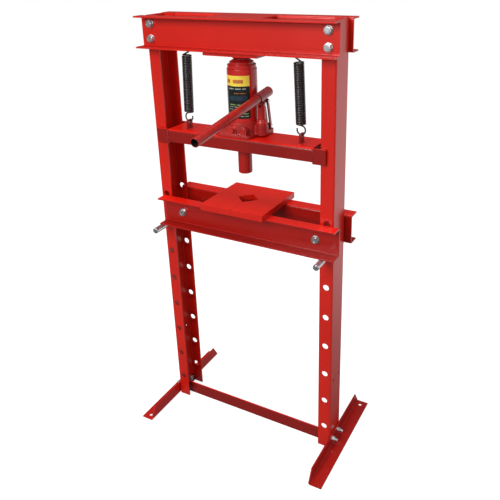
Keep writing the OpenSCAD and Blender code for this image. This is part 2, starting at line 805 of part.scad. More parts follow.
saddle_groove = 2;
module jack_saddle() {
    color(jack_red) translate([jack_x, 0, head_z - saddle_h]) difference() {
        rotate_extrude() polygon([
            [0, 0], [saddle_d / 2 - 6, 0], [saddle_d / 2, 5], [saddle_d / 2, saddle_h],
            [0, saddle_h]
        ]);
        for (a = [0, 90]) rotate([0, 0, a])
            translate([-saddle_d, -1.5, saddle_h - saddle_groove])
                cube([2 * saddle_d, 3, saddle_groove + cut]);
    }
}

// Front end of a valve, with its shank behind it in the casting's bore
module valve_shank(head_d, head_h) {
    rotate([-90, 0, 0]) cylinder(d = valve_d, h = valve_depth);
    rotate([90, 0, 0]) cylinder(d = head_d, h = head_h);
}
module at_valve(x) { translate([jack_x + x, -valve_y, deck_z + valve_z]) children(); }

module release_valve() {
    head_h = 9;
    color(jack_red) at_valve(valve_x) difference() {
        translate([0, -0.3, 0]) valve_shank(12, head_h);
        translate([-10, -head_h - cut, -1.25]) cube([20, 4 + cut, 2.5]);
    }
}
module valve_plug() {
    color(jack_red) at_valve(valve_plug_x) difference() {
        valve_shank(11, 3);
        translate([0, -3 - cut, 0]) rotate([-90, 0, 0]) cylinder(d = 6, h = 3 + cut, $fn = 6);
    }
}

// ---------------------------------------------------------------- pump

module pump_barrel() {
    cone_h = 9;
    color(jack_red) translate([px, 0, deck_z]) difference() {
        union() {
            translate([0, 0, boss_h - gland_depth]) cylinder(d = gland_d, h = gland_depth + cut);
            translate([0, 0, boss_h]) cylinder(d = barrel_d, h = barrel_top - boss_h - cone_h);
            translate([0, 0, barrel_top - cone_h])
                cylinder(d1 = barrel_d, d2 = plunger_d + 3, h = cone_h);
        }
        translate([0, 0, boss_h - gland_depth - cut])
            cylinder(d = plunger_d + 2 * running_gap, h = barrel_top + 2 * cut);
    }
}

slot_gap = 0.25;                            // each side of a lug in its slot
plunger_in = 25;                            // plunger inside the barrel at rest
module pump_plunger() {
    shoulder = plunger_pin_z - 3;
    color(jack_red) translate([px, 0, deck_z]) difference() {
        union() {
            translate([0, 0, barrel_top - plunger_in])
                cylinder(d = plunger_d, h = shoulder - barrel_top + plunger_in);
            translate([0, 0, plunger_pin_z]) x_rod(2 * eye_r, plunger_d - 2);
            translate([1 - plunger_d / 2, -eye_r, shoulder - 5])
                cube([plunger_d - 2, 2 * eye_r, 8]);
        }
        translate([-lug_t / 2 - slot_gap, -plunger_d, plunger_pin_z - eye_r - 2.2])
            cube([lug_t + 2 * slot_gap, 2 * plunger_d, 3 * eye_r]);
        translate([0, 0, plunger_pin_z]) x_rod(link_pin_d + 2 * running_gap, 2 * plunger_d);
    }
}

// Headed pin along X, for what lies within half_w of its middle
module linkage_pin(half_w) {
    x_rod(link_pin_d, 2 * half_w + 2);
    for (s = [-1, 1]) translate([s * (half_w + 1.2), 0, 0]) x_rod(link_pin_d + 3.5, 2);
}
module plunger_pin() {
    color(zinc) translate([px, 0, pz]) linkage_pin(plunger_d / 2);
}

strap_x = lug_t / 2 + 0.5;                  // inner face of a strap
module link_top_pin() {
    color(zinc) translate([px, link_top[0], link_top[1]]) linkage_pin(strap_x + strap_t + 0.1);
}
module link_base_pin() {
    color(zinc) translate([px, link_bottom[0], link_bottom[1]])
        linkage_pin(strap_x + strap_t + 0.1);
}

// The two straps of the link, outside the lugs of the socket and the casting
module link_straps() {
    waist = 9.5;
    color(jack_red) for (s = [0, 1])
        translate([px, link_bottom[0], link_bottom[1]]) mirror([s, 0, 0])
            translate([strap_x, 0, 0]) rotate([link_lean, 0, 0]) along_x() difference() {
                linear_extrude(strap_t) {
                    for (z = [0, link_len]) translate([0, z]) circle(r = eye_r);
                    translate([-waist / 2, 0]) square([waist, link_len]);
                }
                translate([0, 0, -cut]) cylinder(d = link_pin_d + 2 * running_gap,
                                                 h = strap_t + 2 * cut);
                translate([0, link_len, -cut]) cylinder(d = link_pin_d + 2 * link_play,
                                                        h = strap_t + 2 * cut);
            }
}

// Places what is drawn about the plunger's pin, with +Y along the handle to its rear end
module at_handle() { translate([px, 0, pz]) rotate([handle_tilt, 0, 0]) children(); }

module handle_socket() {
    lug_top = socket_rise - socket_r + 1;
    color(jack_red) at_handle() difference() {
        union() {
            translate([0, socket_len / 2 - socket_front, socket_rise])
                y_rod(2 * socket_r, socket_len);
            translate([-lug_t / 2, 0, 0]) along_x() linear_extrude(lug_t) {
                for (y = [0, pump_arm]) translate([y, 0]) circle(r = eye_r);
                translate([-eye_r, 0]) square([pump_arm + 2 * eye_r, lug_top]);
                translate([0, -eye_r]) square([pump_arm, 2 * eye_r]);
            }
        }
        translate([0, 0, socket_rise])
            y_rod(handle_d + 2 * running_gap, 4 * socket_len);
        x_rod(link_pin_d + 2 * running_gap, 4 * lug_t);
        translate([0, pump_arm, 0]) x_rod(link_pin_d + 2 * running_gap, 4 * lug_t);
    }
}

module handle_tube() {
    rear = socket_len - socket_front - handle_inset;
    color(jack_red) at_handle() translate([0, rear - handle_len / 2, socket_rise])
        difference() {
            y_rod(handle_d, handle_len);
            y_rod(handle_d - 2 * handle_wall, handle_len + 2 * cut);
        }
}

upright_left();
upright_right();
crossmember_front();
crossmember_rear();
top_plate();
head_plate();
crossmember_bolts();
crossmember_washers();
crossmember_nuts();
spring_ears();
base_spreader();
foot_left();
foot_right();
foot_bolts();
foot_nuts();
bed_channel_front();
bed_channel_rear();
bed_tie_bolts();
bed_tie_washers();
bed_tie_nuts();
bed_spacers();
arbor_plate_left();
arbor_plate_right();
support_pin_left();
support_pin_right();
carriage_beam();
carriage_guides_left();
carriage_guides_right();
spring_tabs();
ram();
spring_left();
spring_right();
jack_base();
jack_tank();
jack_cap();
jack_piston();
jack_saddle();
filler_plug();
valve_plug();
release_valve();
pump_barrel();
pump_plunger();
plunger_pin();
link_straps();
link_top_pin();
link_base_pin();
handle_socket();
handle_tube();
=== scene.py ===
"""Looks of a floor-standing workshop press: finishes, springs, fasteners, welds and the jack's castings.

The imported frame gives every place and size. What is drawn here takes its place from the frame's boxes and its
own size from the dataclass fields below, in metres.
"""

import json
import logging
import math
from dataclasses import dataclass, field, replace
from enum import Enum
from typing import Callable, Optional, Sequence

import bmesh
import bpy
import numpy as np
from mathutils import Matrix, Vector

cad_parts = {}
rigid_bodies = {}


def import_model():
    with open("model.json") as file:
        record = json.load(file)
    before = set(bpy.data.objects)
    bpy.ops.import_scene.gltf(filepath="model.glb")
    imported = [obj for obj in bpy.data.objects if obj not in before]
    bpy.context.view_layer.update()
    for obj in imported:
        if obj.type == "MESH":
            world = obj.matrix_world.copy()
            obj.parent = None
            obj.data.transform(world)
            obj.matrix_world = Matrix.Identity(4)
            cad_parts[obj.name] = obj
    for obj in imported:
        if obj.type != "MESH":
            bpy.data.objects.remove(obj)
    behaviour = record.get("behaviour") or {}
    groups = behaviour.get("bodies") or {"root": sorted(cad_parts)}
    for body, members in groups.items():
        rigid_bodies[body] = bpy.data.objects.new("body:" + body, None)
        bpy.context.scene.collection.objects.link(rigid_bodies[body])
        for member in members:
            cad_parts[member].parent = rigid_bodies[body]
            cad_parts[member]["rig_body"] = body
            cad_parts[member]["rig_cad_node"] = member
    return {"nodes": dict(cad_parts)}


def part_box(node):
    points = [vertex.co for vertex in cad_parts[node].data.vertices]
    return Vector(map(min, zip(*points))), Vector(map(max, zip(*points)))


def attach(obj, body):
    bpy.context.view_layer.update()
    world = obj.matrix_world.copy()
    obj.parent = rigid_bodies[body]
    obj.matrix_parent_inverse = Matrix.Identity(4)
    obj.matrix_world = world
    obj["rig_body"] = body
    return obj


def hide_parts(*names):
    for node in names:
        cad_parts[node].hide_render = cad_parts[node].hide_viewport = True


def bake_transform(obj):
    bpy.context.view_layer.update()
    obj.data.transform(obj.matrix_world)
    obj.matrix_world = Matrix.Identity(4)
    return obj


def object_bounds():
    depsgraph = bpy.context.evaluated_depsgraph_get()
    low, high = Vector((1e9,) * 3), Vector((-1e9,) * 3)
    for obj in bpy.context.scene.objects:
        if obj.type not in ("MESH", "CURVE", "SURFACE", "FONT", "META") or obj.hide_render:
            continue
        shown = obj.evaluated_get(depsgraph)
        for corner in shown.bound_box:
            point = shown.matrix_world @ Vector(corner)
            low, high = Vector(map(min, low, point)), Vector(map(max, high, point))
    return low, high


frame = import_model()
CAD_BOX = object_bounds()

log = logging.getLogger("press")
MM = 0.001
MERGE_DISTANCE = 1e-6
DOUBLE_DISTANCE = 1e-7
SHORTEST_EDGE = 1e-8

Triple = tuple[float, float, float]
Span = tuple[float, float]
RadiusLimit = Callable[[np.ndarray], np.ndarray]


class Body(str, Enum):
    """Bodies of the frame that new pieces ride on."""

    FRAME = "frame"
    BED = "bed"
    CARRIAGE = "carriage"
    HANDLE = "handle"


class Slot(str, Enum):
    """Material slots of the record. Nothing here uses them."""

    FRAME_PAINT = "frame_paint"
    JACK_PAINT = "jack_paint"
    ZINC = "zinc"
    STEEL = "bright_steel"
    SPRING = "spring_black"


# ---------------------------------------------------------------------------- finishes


class NodeSheet:
    """A short way to add and join the nodes of one material or node group."""

    def __init__(self, tree: bpy.types.NodeTree) -> None:
        """Keeps the tree that the nodes go into.

        Args:
            tree: Node tree of a material or of a node group.
        """
        self.tree = tree

    def add(self, kind: str, inputs: Optional[dict] = None, **settings: object) -> bpy.types.Node:
        """Adds a node.

        Args:
            kind: Blender's name of the node's type.
            inputs: Values or output sockets, by the name or number of the input.
            settings: Properties of the node.

        Returns:
            The new node.
        """
        made = self.tree.nodes.new(kind)
        for name, value in settings.items():
            setattr(made, name, value)
        for name, value in (inputs or {}).items():
            if isinstance(value, bpy.types.NodeSocket):
                self.tree.links.new(value, made.inputs[name])
            else:
                made.inputs[name].default_value = value
        return made

    def math(self, operation: str, a: object, b: object = 0.0) -> bpy.types.NodeSocket:
        """Returns the output of a Math node with the inputs a and b."""
        return self.add("ShaderNodeMath", {0: a, 1: b}, operation=operation).outputs[0]

    def spread(self, value: object, low: float, high: float) -> bpy.types.NodeSocket:
        """Returns value, from 0 to 1, mapped to the span from low to high."""
        inputs = {"Value": value, "To Min": low, "To Max": high}
        return self.add("ShaderNodeMapRange", inputs).outputs[0]

    def ease(self, value: object, over: Span, to: Span = (0.0, 1.0)) -> bpy.types.NodeSocket:
        """Returns value mapped from the span over to the span to, with a smooth start and end."""
        inputs = {"Value": value, "From Min": over[0], "From Max": over[1], "To Min": to[0], "To Max": to[1]}
        return self.add("ShaderNodeMapRange", inputs, interpolation_type="SMOOTHSTEP").outputs[0]

    def part(self, vector: object, axis: str) -> bpy.types.NodeSocket:
        """Returns the X, Y or Z of a vector."""
        return self.add("ShaderNodeSeparateXYZ", {0: vector}).outputs[axis]

    def noise(self, where: object, scale: object, detail: float) -> bpy.types.NodeSocket:
        """Returns noise at where, with scale features to the metre."""
        inputs = {"Vector": where, "Scale": scale, "Detail": detail}
        return self.add("ShaderNodeTexNoise", inputs).outputs["Fac"]


def surface_group() -> bpy.types.NodeTree:
    """Builds a finish's shared group for tone, roughness mask, height and the mask of tops that get painted
    light.

    Tone is slow noise, Grain is fine noise, Height sums a slow sheet wave and the fine grain, and the painted
    light mask is 1 on what faces up above a height: the tops whose colour gets painted light and painted shade.

    Returns:
        The node group, built once.
    """
    name = "surface_grain_and_painted_light"
    if name in bpy.data.node_groups:
        return bpy.data.node_groups[name]
    group = bpy.data.node_groups.new(name, "ShaderNodeTree")
    for socket, value in (("Tone Scale", 6.0), ("Grain Scale", 400.0), ("Wave Scale", 18.0),
                          ("Wave Height", 0.0), ("Grain Height", 1.0), ("Painted Light Above", -1.0)):
        made = group.interface.new_socket(socket, in_out="INPUT", socket_type="NodeSocketFloat")
        made.default_value = value
    for socket in ("Tone", "Grain", "Height", "Top"):
        group.interface.new_socket(socket, in_out="OUTPUT", socket_type="NodeSocketFloat")
    sheet = NodeSheet(group)
    given = sheet.add("NodeGroupInput").outputs
    coordinates = sheet.add("ShaderNodeTexCoord").outputs
    where = coordinates["Object"]
    # A face counts as a top, for painted light and shade, fully within 18 degrees of level, and not at all past
    # 66 degrees.
    top = sheet.ease(sheet.part(coordinates["Normal"], "Z"), (0.4, 0.95))
    high = sheet.math("GREATER_THAN", sheet.part(where, "Z"), given["Painted Light Above"])
    tone = sheet.noise(where, given["Tone Scale"], 3.0)
    grain = sheet.noise(where, given["Grain Scale"], 2.0)
    wave = sheet.noise(where, given["Wave Scale"], 0.0)
    height = sheet.math("ADD", sheet.math("MULTIPLY", wave, given["Wave Height"]),
                        sheet.math("MULTIPLY", grain, given["Grain Height"]))
    sheet.add("NodeGroupOutput", {"Tone": tone, "Grain": grain, "Height": height,
                                   "Top": sheet.math("MULTIPLY", top, high)})
    return group


@dataclass(frozen=True)
class Finish:
    """A surface finish, as one Principled material with varying tone, roughness and height.

    Its colour goes from dark to light with the tone, and its roughness from rough_low to rough_high. What
    faces up above a given height has its colour multiplied by a given gain: painted light on the tops where
    the gain is above 1 and painted shade on them where it is below 1.
    """

    name: str
    dark: Triple
    light: Triple
    rough_low: float
    rough_high: float
    metallic: float = 0.0
    coat: float = 0.0
    coat_roughness: float = 0.1
    tone_scale: float = 6.0
    grain_scale: float = 400.0
    grain_height: float = 1.0
    wave_scale: float = 18.0
    wave_height: float = 0.0
    bump: float = 0.1
    bump_distance: float = 0.0002
    painted_top_light_gain: float = 1.0
    painted_top_light_above: float = -1.0

    def build(self) -> bpy.types.Material:
        """Makes the material, or returns it if it is made already.

        Returns:
            The material.
        """
        if self.name in bpy.data.materials:
            return bpy.data.materials[self.name]
        material = bpy.data.materials.new(self.name)
        material.use_nodes = True
        material.diffuse_color = (*self.light, 1.0)
        sheet = NodeSheet(material.node_tree)
        shader = material.node_tree.nodes["Principled BSDF"]
        grain = sheet.add("ShaderNodeGroup", node_tree=surface_group())
        values = {"Tone Scale": self.tone_scale, "Grain Scale": self.grain_scale,
                  "Wave Scale": self.wave_scale, "Wave Height": self.wave_height,
                  "Grain Height": self.grain_height, "Painted Light Above": self.painted_top_light_above}
        for socket, value in values.items():
            grain.inputs[socket].default_value = value
        # Most of the noise lies between 0.3 and 0.7.
        ramp = sheet.add("ShaderNodeValToRGB", {"Fac": grain.outputs["Tone"]})
        ramp.color_ramp.elements[0].position = 0.3
        ramp.color_ramp.elements[0].color = (*self.dark, 1.0)
        ramp.color_ramp.elements[1].position = 0.7
        ramp.color_ramp.elements[1].color = (*self.light, 1.0)
        links = material.node_tree.links
        colour = ramp.outputs[0]
        # Painted light and shade: the colour of the tops is scaled by the gain, lighter above 1 and darker
        # below 1.
        if self.painted_top_light_gain != 1.0:
            gain = sheet.spread(grain.outputs["Top"], 1.0, self.painted_top_light_gain)
            scaled = sheet.add("ShaderNodeVectorMath", {0: colour, "Scale": gain}, operation="SCALE")
            colour = scaled.outputs[0]
        links.new(colour, shader.inputs["Base Color"])
        mixed = sheet.math("MULTIPLY", sheet.math("ADD", grain.outputs["Tone"], grain.outputs["Grain"]), 0.5)
        links.new(sheet.spread(mixed, self.rough_low, self.rough_high), shader.inputs["Roughness"])
        bump = sheet.add("ShaderNodeBump", {"Height": grain.outputs["Height"], "Strength": self.bump,
                                            "Distance": self.bump_distance})
        links.new(bump.outputs[0], shader.inputs["Normal"])
        shader.inputs["Metallic"].default_value = self.metallic
        shader.inputs["Coat Weight"].default_value = self.coat
        shader.inputs["Coat Roughness"].default_value = self.coat_roughness
        return material


# The frame's paint; its tops are darkened a little, as painted shade.
PAINT = Finish("gloss_red_paint", (0.57, 0.007, 0.001), (0.65, 0.011, 0.002), 0.26, 0.38, coat=0.15,
               coat_roughness=0.08, tone_scale=4.0, grain_scale=700.0, wave_scale=14.0, wave_height=14.0,
               grain_height=0.5, bump=0.12, painted_top_light_gain=0.9)
# The same paint with painted light on the tops of the arbor plates.
PLATE_LIT_PAINT = replace(PAINT, name="plate_red_paint_painted_light", painted_top_light_gain=1.45)
# A darker copy of the same paint, as painted shade on the bed, with painted light on its tops above 0.74 m.
BED_SHADED_PAINT = replace(PAINT, name="bed_red_paint_painted_shade", dark=(0.36, 0.004, 0.001), light=(0.41, 0.006, 0.002),
                    painted_top_light_gain=2.3, painted_top_light_above=0.74)
# The same painted shade on the right foot alone, with no painted light on its tops.
FOOT_SHADED_PAINT = replace(BED_SHADED_PAINT, name="foot_red_paint_painted_shade", painted_top_light_gain=1.0)
# A darker copy still, as painted shade on the fronts of the spreader, the carriage, its guides, tabs and welds,
# with strong painted light on their tops.
SHADED_PAINT = replace(PAINT, name="red_paint_painted_shade", dark=(0.25, 0.003, 0.001), light=(0.29, 0.004, 0.001),
                     painted_top_light_gain=3.4)
JACK_PAINT = Finish("jack_red_paint", (0.44, 0.009, 0.007), (0.60, 0.015, 0.011), 0.24, 0.40, coat=0.3,
                    tone_scale=22.0, grain_scale=500.0, wave_scale=60.0, wave_height=3.0, grain_height=0.8,
                    bump=0.15)
# A darker copy of the jack's paint, as painted shade on the handle tube.
HANDLE_SHADED_PAINT = replace(JACK_PAINT, name="handle_red_paint_painted_shade", dark=(0.33, 0.010, 0.008),
                       light=(0.45, 0.016, 0.012))
# A lighter, pinker copy of the jack's paint, as a painted sheen on the socket and the link straps.
SOCKET_SHEEN_PAINT = replace(JACK_PAINT, name="socket_red_paint_painted_sheen", dark=(0.34, 0.034, 0.038),
                       light=(0.46, 0.052, 0.058))
# A lighter copy of the jack's paint, as painted light on the pump.
PUMP_LIT_PAINT = replace(JACK_PAINT, name="pump_red_paint_painted_light", dark=(0.52, 0.014, 0.012),
                     light=(0.66, 0.022, 0.018))
CAST_PAINT = Finish("painted_casting", (0.32, 0.009, 0.008), (0.48, 0.016, 0.013), 0.30, 0.52, coat=0.2,
                    coat_roughness=0.16, tone_scale=40.0, grain_scale=900.0, wave_scale=160.0,
                    wave_height=1.6, grain_height=0.6, bump=0.45, bump_distance=0.0006)
ZINC = Finish("zinc_plate", (0.52, 0.54, 0.56), (0.82, 0.84, 0.86), 0.22, 0.48, metallic=1.0,
              tone_scale=160.0, grain_scale=1800.0, wave_scale=300.0, wave_height=0.6, bump=0.2,
              bump_distance=0.0001)
STEEL = Finish("ground_steel", (0.55, 0.55, 0.56), (0.72, 0.72, 0.73), 0.12, 0.28, metallic=1.0,
               tone_scale=60.0, grain_scale=2500.0, bump=0.08, bump_distance=0.00005)
SPRING = Finish("blackened_spring_wire", (0.014, 0.014, 0.015), (0.040, 0.040, 0.042), 0.22, 0.38,
                metallic=0.2, coat=0.7, coat_roughness=0.16, tone_scale=90.0, grain_scale=2500.0, bump=0.12,
                bump_distance=0.00005)
RUBBER = Finish("black_rubber", (0.012, 0.012, 0.012), (0.030, 0.030, 0.030), 0.55, 0.75, tone_scale=120.0,
                grain_scale=2000.0, bump=0.15, bump_distance=0.00005)
LABEL_YELLOW = Finish("label_yellow", (0.86, 0.62, 0.06), (0.94, 0.74, 0.10), 0.26, 0.38, tone_scale=40.0,
                      grain_scale=900.0, bump=0.04, bump_distance=0.00004)
LABEL_BLACK = Finish("label_black", (0.005, 0.008, 0.007), (0.012, 0.018, 0.016), 0.24, 0.36, tone_scale=40.0,
                     grain_scale=900.0, bump=0.04, bump_distance=0.00004)
LABEL_WHITE = Finish("label_white", (0.26, 0.32, 0.27), (0.46, 0.52, 0.44), 0.3, 0.4, tone_scale=300.0)
LABEL_RED = Finish("label_red", (0.45, 0.12, 0.02), (0.58, 0.18, 0.03), 0.3, 0.4, tone_scale=60.0)
LABEL_GREEN = Finish("label_green", (0.16, 0.30, 0.10), (0.32, 0.46, 0.16), 0.3, 0.4, tone_scale=300.0)
LABEL_BLUE = Finish("label_blue", (0.010, 0.026, 0.045), (0.018, 0.045, 0.075), 0.3, 0.4, tone_scale=60.0)
# Near black, for the painted shade in the handle's tube and at the socket's mouth.
PAINTED_SHADE = Finish("painted_shade_dark", (0.006, 0.006, 0.007), (0.016, 0.015, 0.015), 0.5, 0.7, tone_scale=120.0)


# ---------------------------------------------------------------------------- meshes


class Shell:
    """Gathers grids of points into one closed mesh."""

    def __init__(self, name: str) -> None:
        """Starts an empty mesh.

        Args:
            name: Name of the piece.
        """
        self.name = name
        self.points: list[np.ndarray] = []
        self.faces: list[np.ndarray] = []
        self.slots: list[np.ndarray] = []
        self.count = 0

    def grid(self, points: np.ndarray, wrap_u: bool = False, wrap_v: bool = False, slot: int = 0) -> "Shell":
        """Adds a surface given at the knots of a grid, with a quad between each four neighbours.

        Args:
            points: Array of rows u, columns v and three coordinates.
            wrap_u: Whether the last row joins the first.
            wrap_v: Whether the last column joins the first.
            slot: Number of the material that its faces take.

        Returns:
            The shell itself.
        """
        rows, columns = points.shape[:2]
        index = np.arange(rows * columns).reshape(rows, columns) + self.count
        if wrap_u:
            index = np.vstack([index, index[:1]])
        if wrap_v:
            index = np.hstack([index, index[:, :1]])
        quads = np.stack([index[:-1, :-1], index[:-1, 1:], index[1:, 1:], index[1:, :-1]], axis=-1)
        self.points.append(points.reshape(-1, 3))
        self.faces.append(quads.reshape(-1, 4))
        self.slots.append(np.full(len(self.faces[-1]), slot, np.int32))
        self.count += rows * columns
        return self

    def build(self, finishes: Sequence[Finish], smooth_angle: Optional[float] = None) -> bpy.types.Object:
        """Makes the object, merges doubled points and turns the faces outward.

        Args:
            finishes: Finish of each material slot.
            smooth_angle: Angle in degrees past which an edge stays sharp.

        Returns:
            The object, at the origin.
        """
        mesh = bpy.data.meshes.new(self.name)
        points, faces = np.vstack(self.points), np.vstack(self.faces)
        mesh.from_pydata(points.tolist(), [], faces.tolist())
        mesh.polygons.foreach_set("material_index", np.concatenate(self.slots))
        work = bmesh.new()
        work.from_mesh(mesh)
        bmesh.ops.remove_doubles(work, verts=work.verts, dist=DOUBLE_DISTANCE)
        bmesh.ops.dissolve_degenerate(work, edges=work.edges, dist=SHORTEST_EDGE)
        bmesh.ops.recalc_face_normals(work, faces=work.faces)
        work.to_mesh(mesh)
        work.free()
        for finish in finishes:
            mesh.materials.append(finish.build())
        mesh.polygons.foreach_set("use_smooth", np.ones(len(mesh.polygons), bool))
        if smooth_angle is not None:
            mesh.set_sharp_from_angle(angle=math.radians(smooth_angle))
        made = bpy.data.objects.new(self.name, mesh)
        bpy.context.scene.collection.objects.link(made)
        return made


def polar(angles: np.ndarray) -> np.ndarray:
    """Returns the unit vectors (cos, sin) of the angles, in radians."""
    return np.stack([np.cos(angles), np.sin(angles)], axis=-1)


def turned(profile: np.ndarray, sides: int, limit: Optional[RadiusLimit] = None) -> np.ndarray:
    """Revolves a profile about Z: x = r cos a, y = r sin a, with r no larger than limit(a).

    Args:
        profile: Rows of radius and height.
        sides: Number of steps round the axis.
        limit: Largest radius at an angle, such as the side of a hexagon.

    Returns:
        Grid of points, one row for each row of the profile.
    """
    angles = np.linspace(0, 2 * math.pi, sides, endpoint=False)
    radius = np.repeat(profile[:, :1], sides, axis=1)
    if limit is not None:
        radius = np.minimum(radius, limit(angles)[None, :])
    height = np.repeat(profile[:, 1:2], sides, axis=1)
    return np.dstack([radius * np.cos(angles), radius * np.sin(angles), height])


def hexagon(across: float) -> RadiusLimit:
    """Works out how far a hexagon reaches at each angle.

    Args:
        across: Distance across its flats.

    Returns:
        Function that gives the radius at angles in radians.
    """

    def radius(angles: np.ndarray) -> np.ndarray:
        """Half the distance across flats over the cosine of the angle to the nearest flat's middle."""
        from_flat = (angles + math.pi / 6) % (math.pi / 3) - math.pi / 6
        return across / 2 / np.cos(from_flat)

    return radius


def swept(path: np.ndarray, reference: np.ndarray, radius: float, sides: int,
          scale: Optional[np.ndarray] = None) -> np.ndarray:
    """Carries a circle along a path, in the plane across the path at each point.

    The circle's first axis is the part of the reference that is perpendicular to the path, and its second
    axis is the cross product of the path's direction and the first.

    Args:
        path: Points of the path.
        reference: Direction that the first axis is near, one for all points or one for each. It is never
            along the path.
        radius: Radius of the circle.
        sides: Number of its sides.
        scale: Share of the radius at each point.

    Returns:
        Grid of points, one row for each point of the path.
    """
    tangent = np.gradient(path, axis=0)
    tangent /= np.linalg.norm(tangent, axis=1)[:, None]
    reference = np.broadcast_to(reference, path.shape)
    side = reference - tangent * np.sum(tangent * reference, axis=1)[:, None]
    side /= np.linalg.norm(side, axis=1)[:, None]
    up = np.cross(tangent, side)
    ring = polar(np.linspace(0, 2 * math.pi, sides, endpoint=False))
    share = np.ones(len(path)) if scale is None else scale
    offset = side[:, None, :] * ring[None, :, :1] + up[:, None, :] * ring[None, :, 1:]
    return path[:, None, :] + offset * (radius * share)[:, None, None]


def capped(rings: np.ndarray) -> np.ndarray:
    """Closes both ends of a stack of rings with a last ring at each end's middle."""
    ends = [np.repeat(rings[i].mean(axis=0)[None, None], rings.shape[1], axis=1) for i in (0, -1)]
    return np.concatenate([ends[0], rings, ends[1]], axis=0)


def placed(points: np.ndarray, matrix: Matrix) -> np.ndarray:
    """Returns the points moved by a matrix."""
    turn = np.array(matrix.to_3x3())
    return points @ turn.T + np.array(matrix.to_translation())


def facing(origin: Vector, direction: Vector) -> Matrix:
    """Returns a matrix that puts local +Z along direction, at origin."""
    return Matrix.Translation(origin) @ direction.to_track_quat("Z", "Y").to_matrix().to_4x4()


def settle(piece: bpy.types.Object, body: Body, replaces: Sequence[str] = ()) -> bpy.types.Object:
    """Rides a finished piece on its body and hides the CAD nodes that it stands for.

    Args:
        piece: The finished piece.
        body: Body that it moves with.
        replaces: CAD nodes that it stands for.

    Returns:
        The piece.
    """
    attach(piece, body.value)
    if replaces:
        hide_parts(*replaces)
    log.info("%s: %d faces on %s", piece.name, len(piece.data.polygons), body.value)
    return piece


# ---------------------------------------------------------------------------- frame's own nodes


@dataclass
class CadDresser:
    """Gives the CAD's own nodes their finish and soft edges."""

    edge: float = 0.5 * MM
    fine_edge: float = 0.25 * MM
    edge_steps: int = 2
    corner_angle: float = 35.0
    # The sheets take the frame's paint, whose tops are darkened a little as painted shade.
    sheets: tuple[str, ...] = (
        "upright_left", "upright_right", "crossmember_front", "crossmember_rear", "top_plate", "head_plate",
        "foot_left", "spring_ears")
    # The plates take the same paint with painted light on their tops.
    plates: tuple[str, ...] = ("arbor_plate_left", "arbor_plate_right")
    # The right foot takes a darker copy of the paint, as painted shade.
    feet: tuple[str, ...] = ("foot_right",)
    # The bed and the parts below take darker copies of the paint, as painted shade, with painted light on their
    # tops.
    bed: tuple[str, ...] = ("bed_channel_front", "bed_channel_rear", "ram", "bed_spacers")
    shaded_parts: tuple[str, ...] = ("base_spreader", "carriage_beam", "carriage_guides_left",
                             "carriage_guides_right", "spring_tabs")
    jack: tuple[str, ...] = ("jack_tank", "jack_cap", "jack_saddle", "release_valve", "valve_plug")
    handle: tuple[str, ...] = ("handle_tube",)
    socket: tuple[str, ...] = ("handle_socket", "link_straps")
    pump: tuple[str, ...] = ("pump_barrel", "pump_plunger")
    zinc: tuple[str, ...] = ("crossmember_washers", "crossmember_nuts", "foot_nuts", "bed_tie_washers",
                             "bed_tie_nuts", "support_pin_left", "support_pin_right")
    steel: tuple[str, ...] = ("jack_piston", "plunger_pin", "link_top_pin", "link_base_pin")
    rubber: tuple[str, ...] = ("filler_plug",)

    def dress(self, node: str, finish: Finish, edge: float) -> None:
        """Sets the material of a CAD node and rounds its edges.

        Args:
            node: Name of the node.
            finish: Its finish.
            edge: Width of the rounding at its edges.
        """
        piece = frame["nodes"][node]
        piece.data.materials.clear()
        piece.data.materials.append(finish.build())
        piece.data.polygons.foreach_set("material_index", np.zeros(len(piece.data.polygons), np.int32))
        piece.data.polygons.foreach_set("use_smooth", np.ones(len(piece.data.polygons), bool))
        weld = piece.modifiers.new("merge", "WELD")
        weld.merge_threshold = MERGE_DISTANCE
        bevel = piece.modifiers.new("edges", "BEVEL")
        bevel.width = edge
        bevel.segments = self.edge_steps
        bevel.limit_method = "ANGLE"
        bevel.angle_limit = math.radians(self.corner_angle)
        bevel.harden_normals = True
        bevel.use_clamp_overlap = False
        bevel.miter_outer = "MITER_ARC"
        normals = piece.modifiers.new("normals", "WEIGHTED_NORMAL")
        normals.keep_sharp = True
        log.info("%s: %s", node, finish.name)

    def build(self) -> None:
        """Dresses every CAD node that stays."""
        folded = ((self.sheets, PAINT), (self.plates, PLATE_LIT_PAINT), (self.bed, BED_SHADED_PAINT),
                  (self.feet, FOOT_SHADED_PAINT), (self.shaded_parts, SHADED_PAINT))
        machined = ((self.jack, JACK_PAINT), (self.pump, PUMP_LIT_PAINT), (self.handle, HANDLE_SHADED_PAINT),
                    (self.socket, SOCKET_SHEEN_PAINT), (self.zinc, ZINC), (self.steel, STEEL),
                    (self.rubber, RUBBER))
        for groups, edge in ((folded, self.edge), (machined, self.fine_edge)):
            for nodes, finish in groups:
                for node in nodes:
                    self.dress(node, finish, edge)


# ---------------------------------------------------------------------------- springs


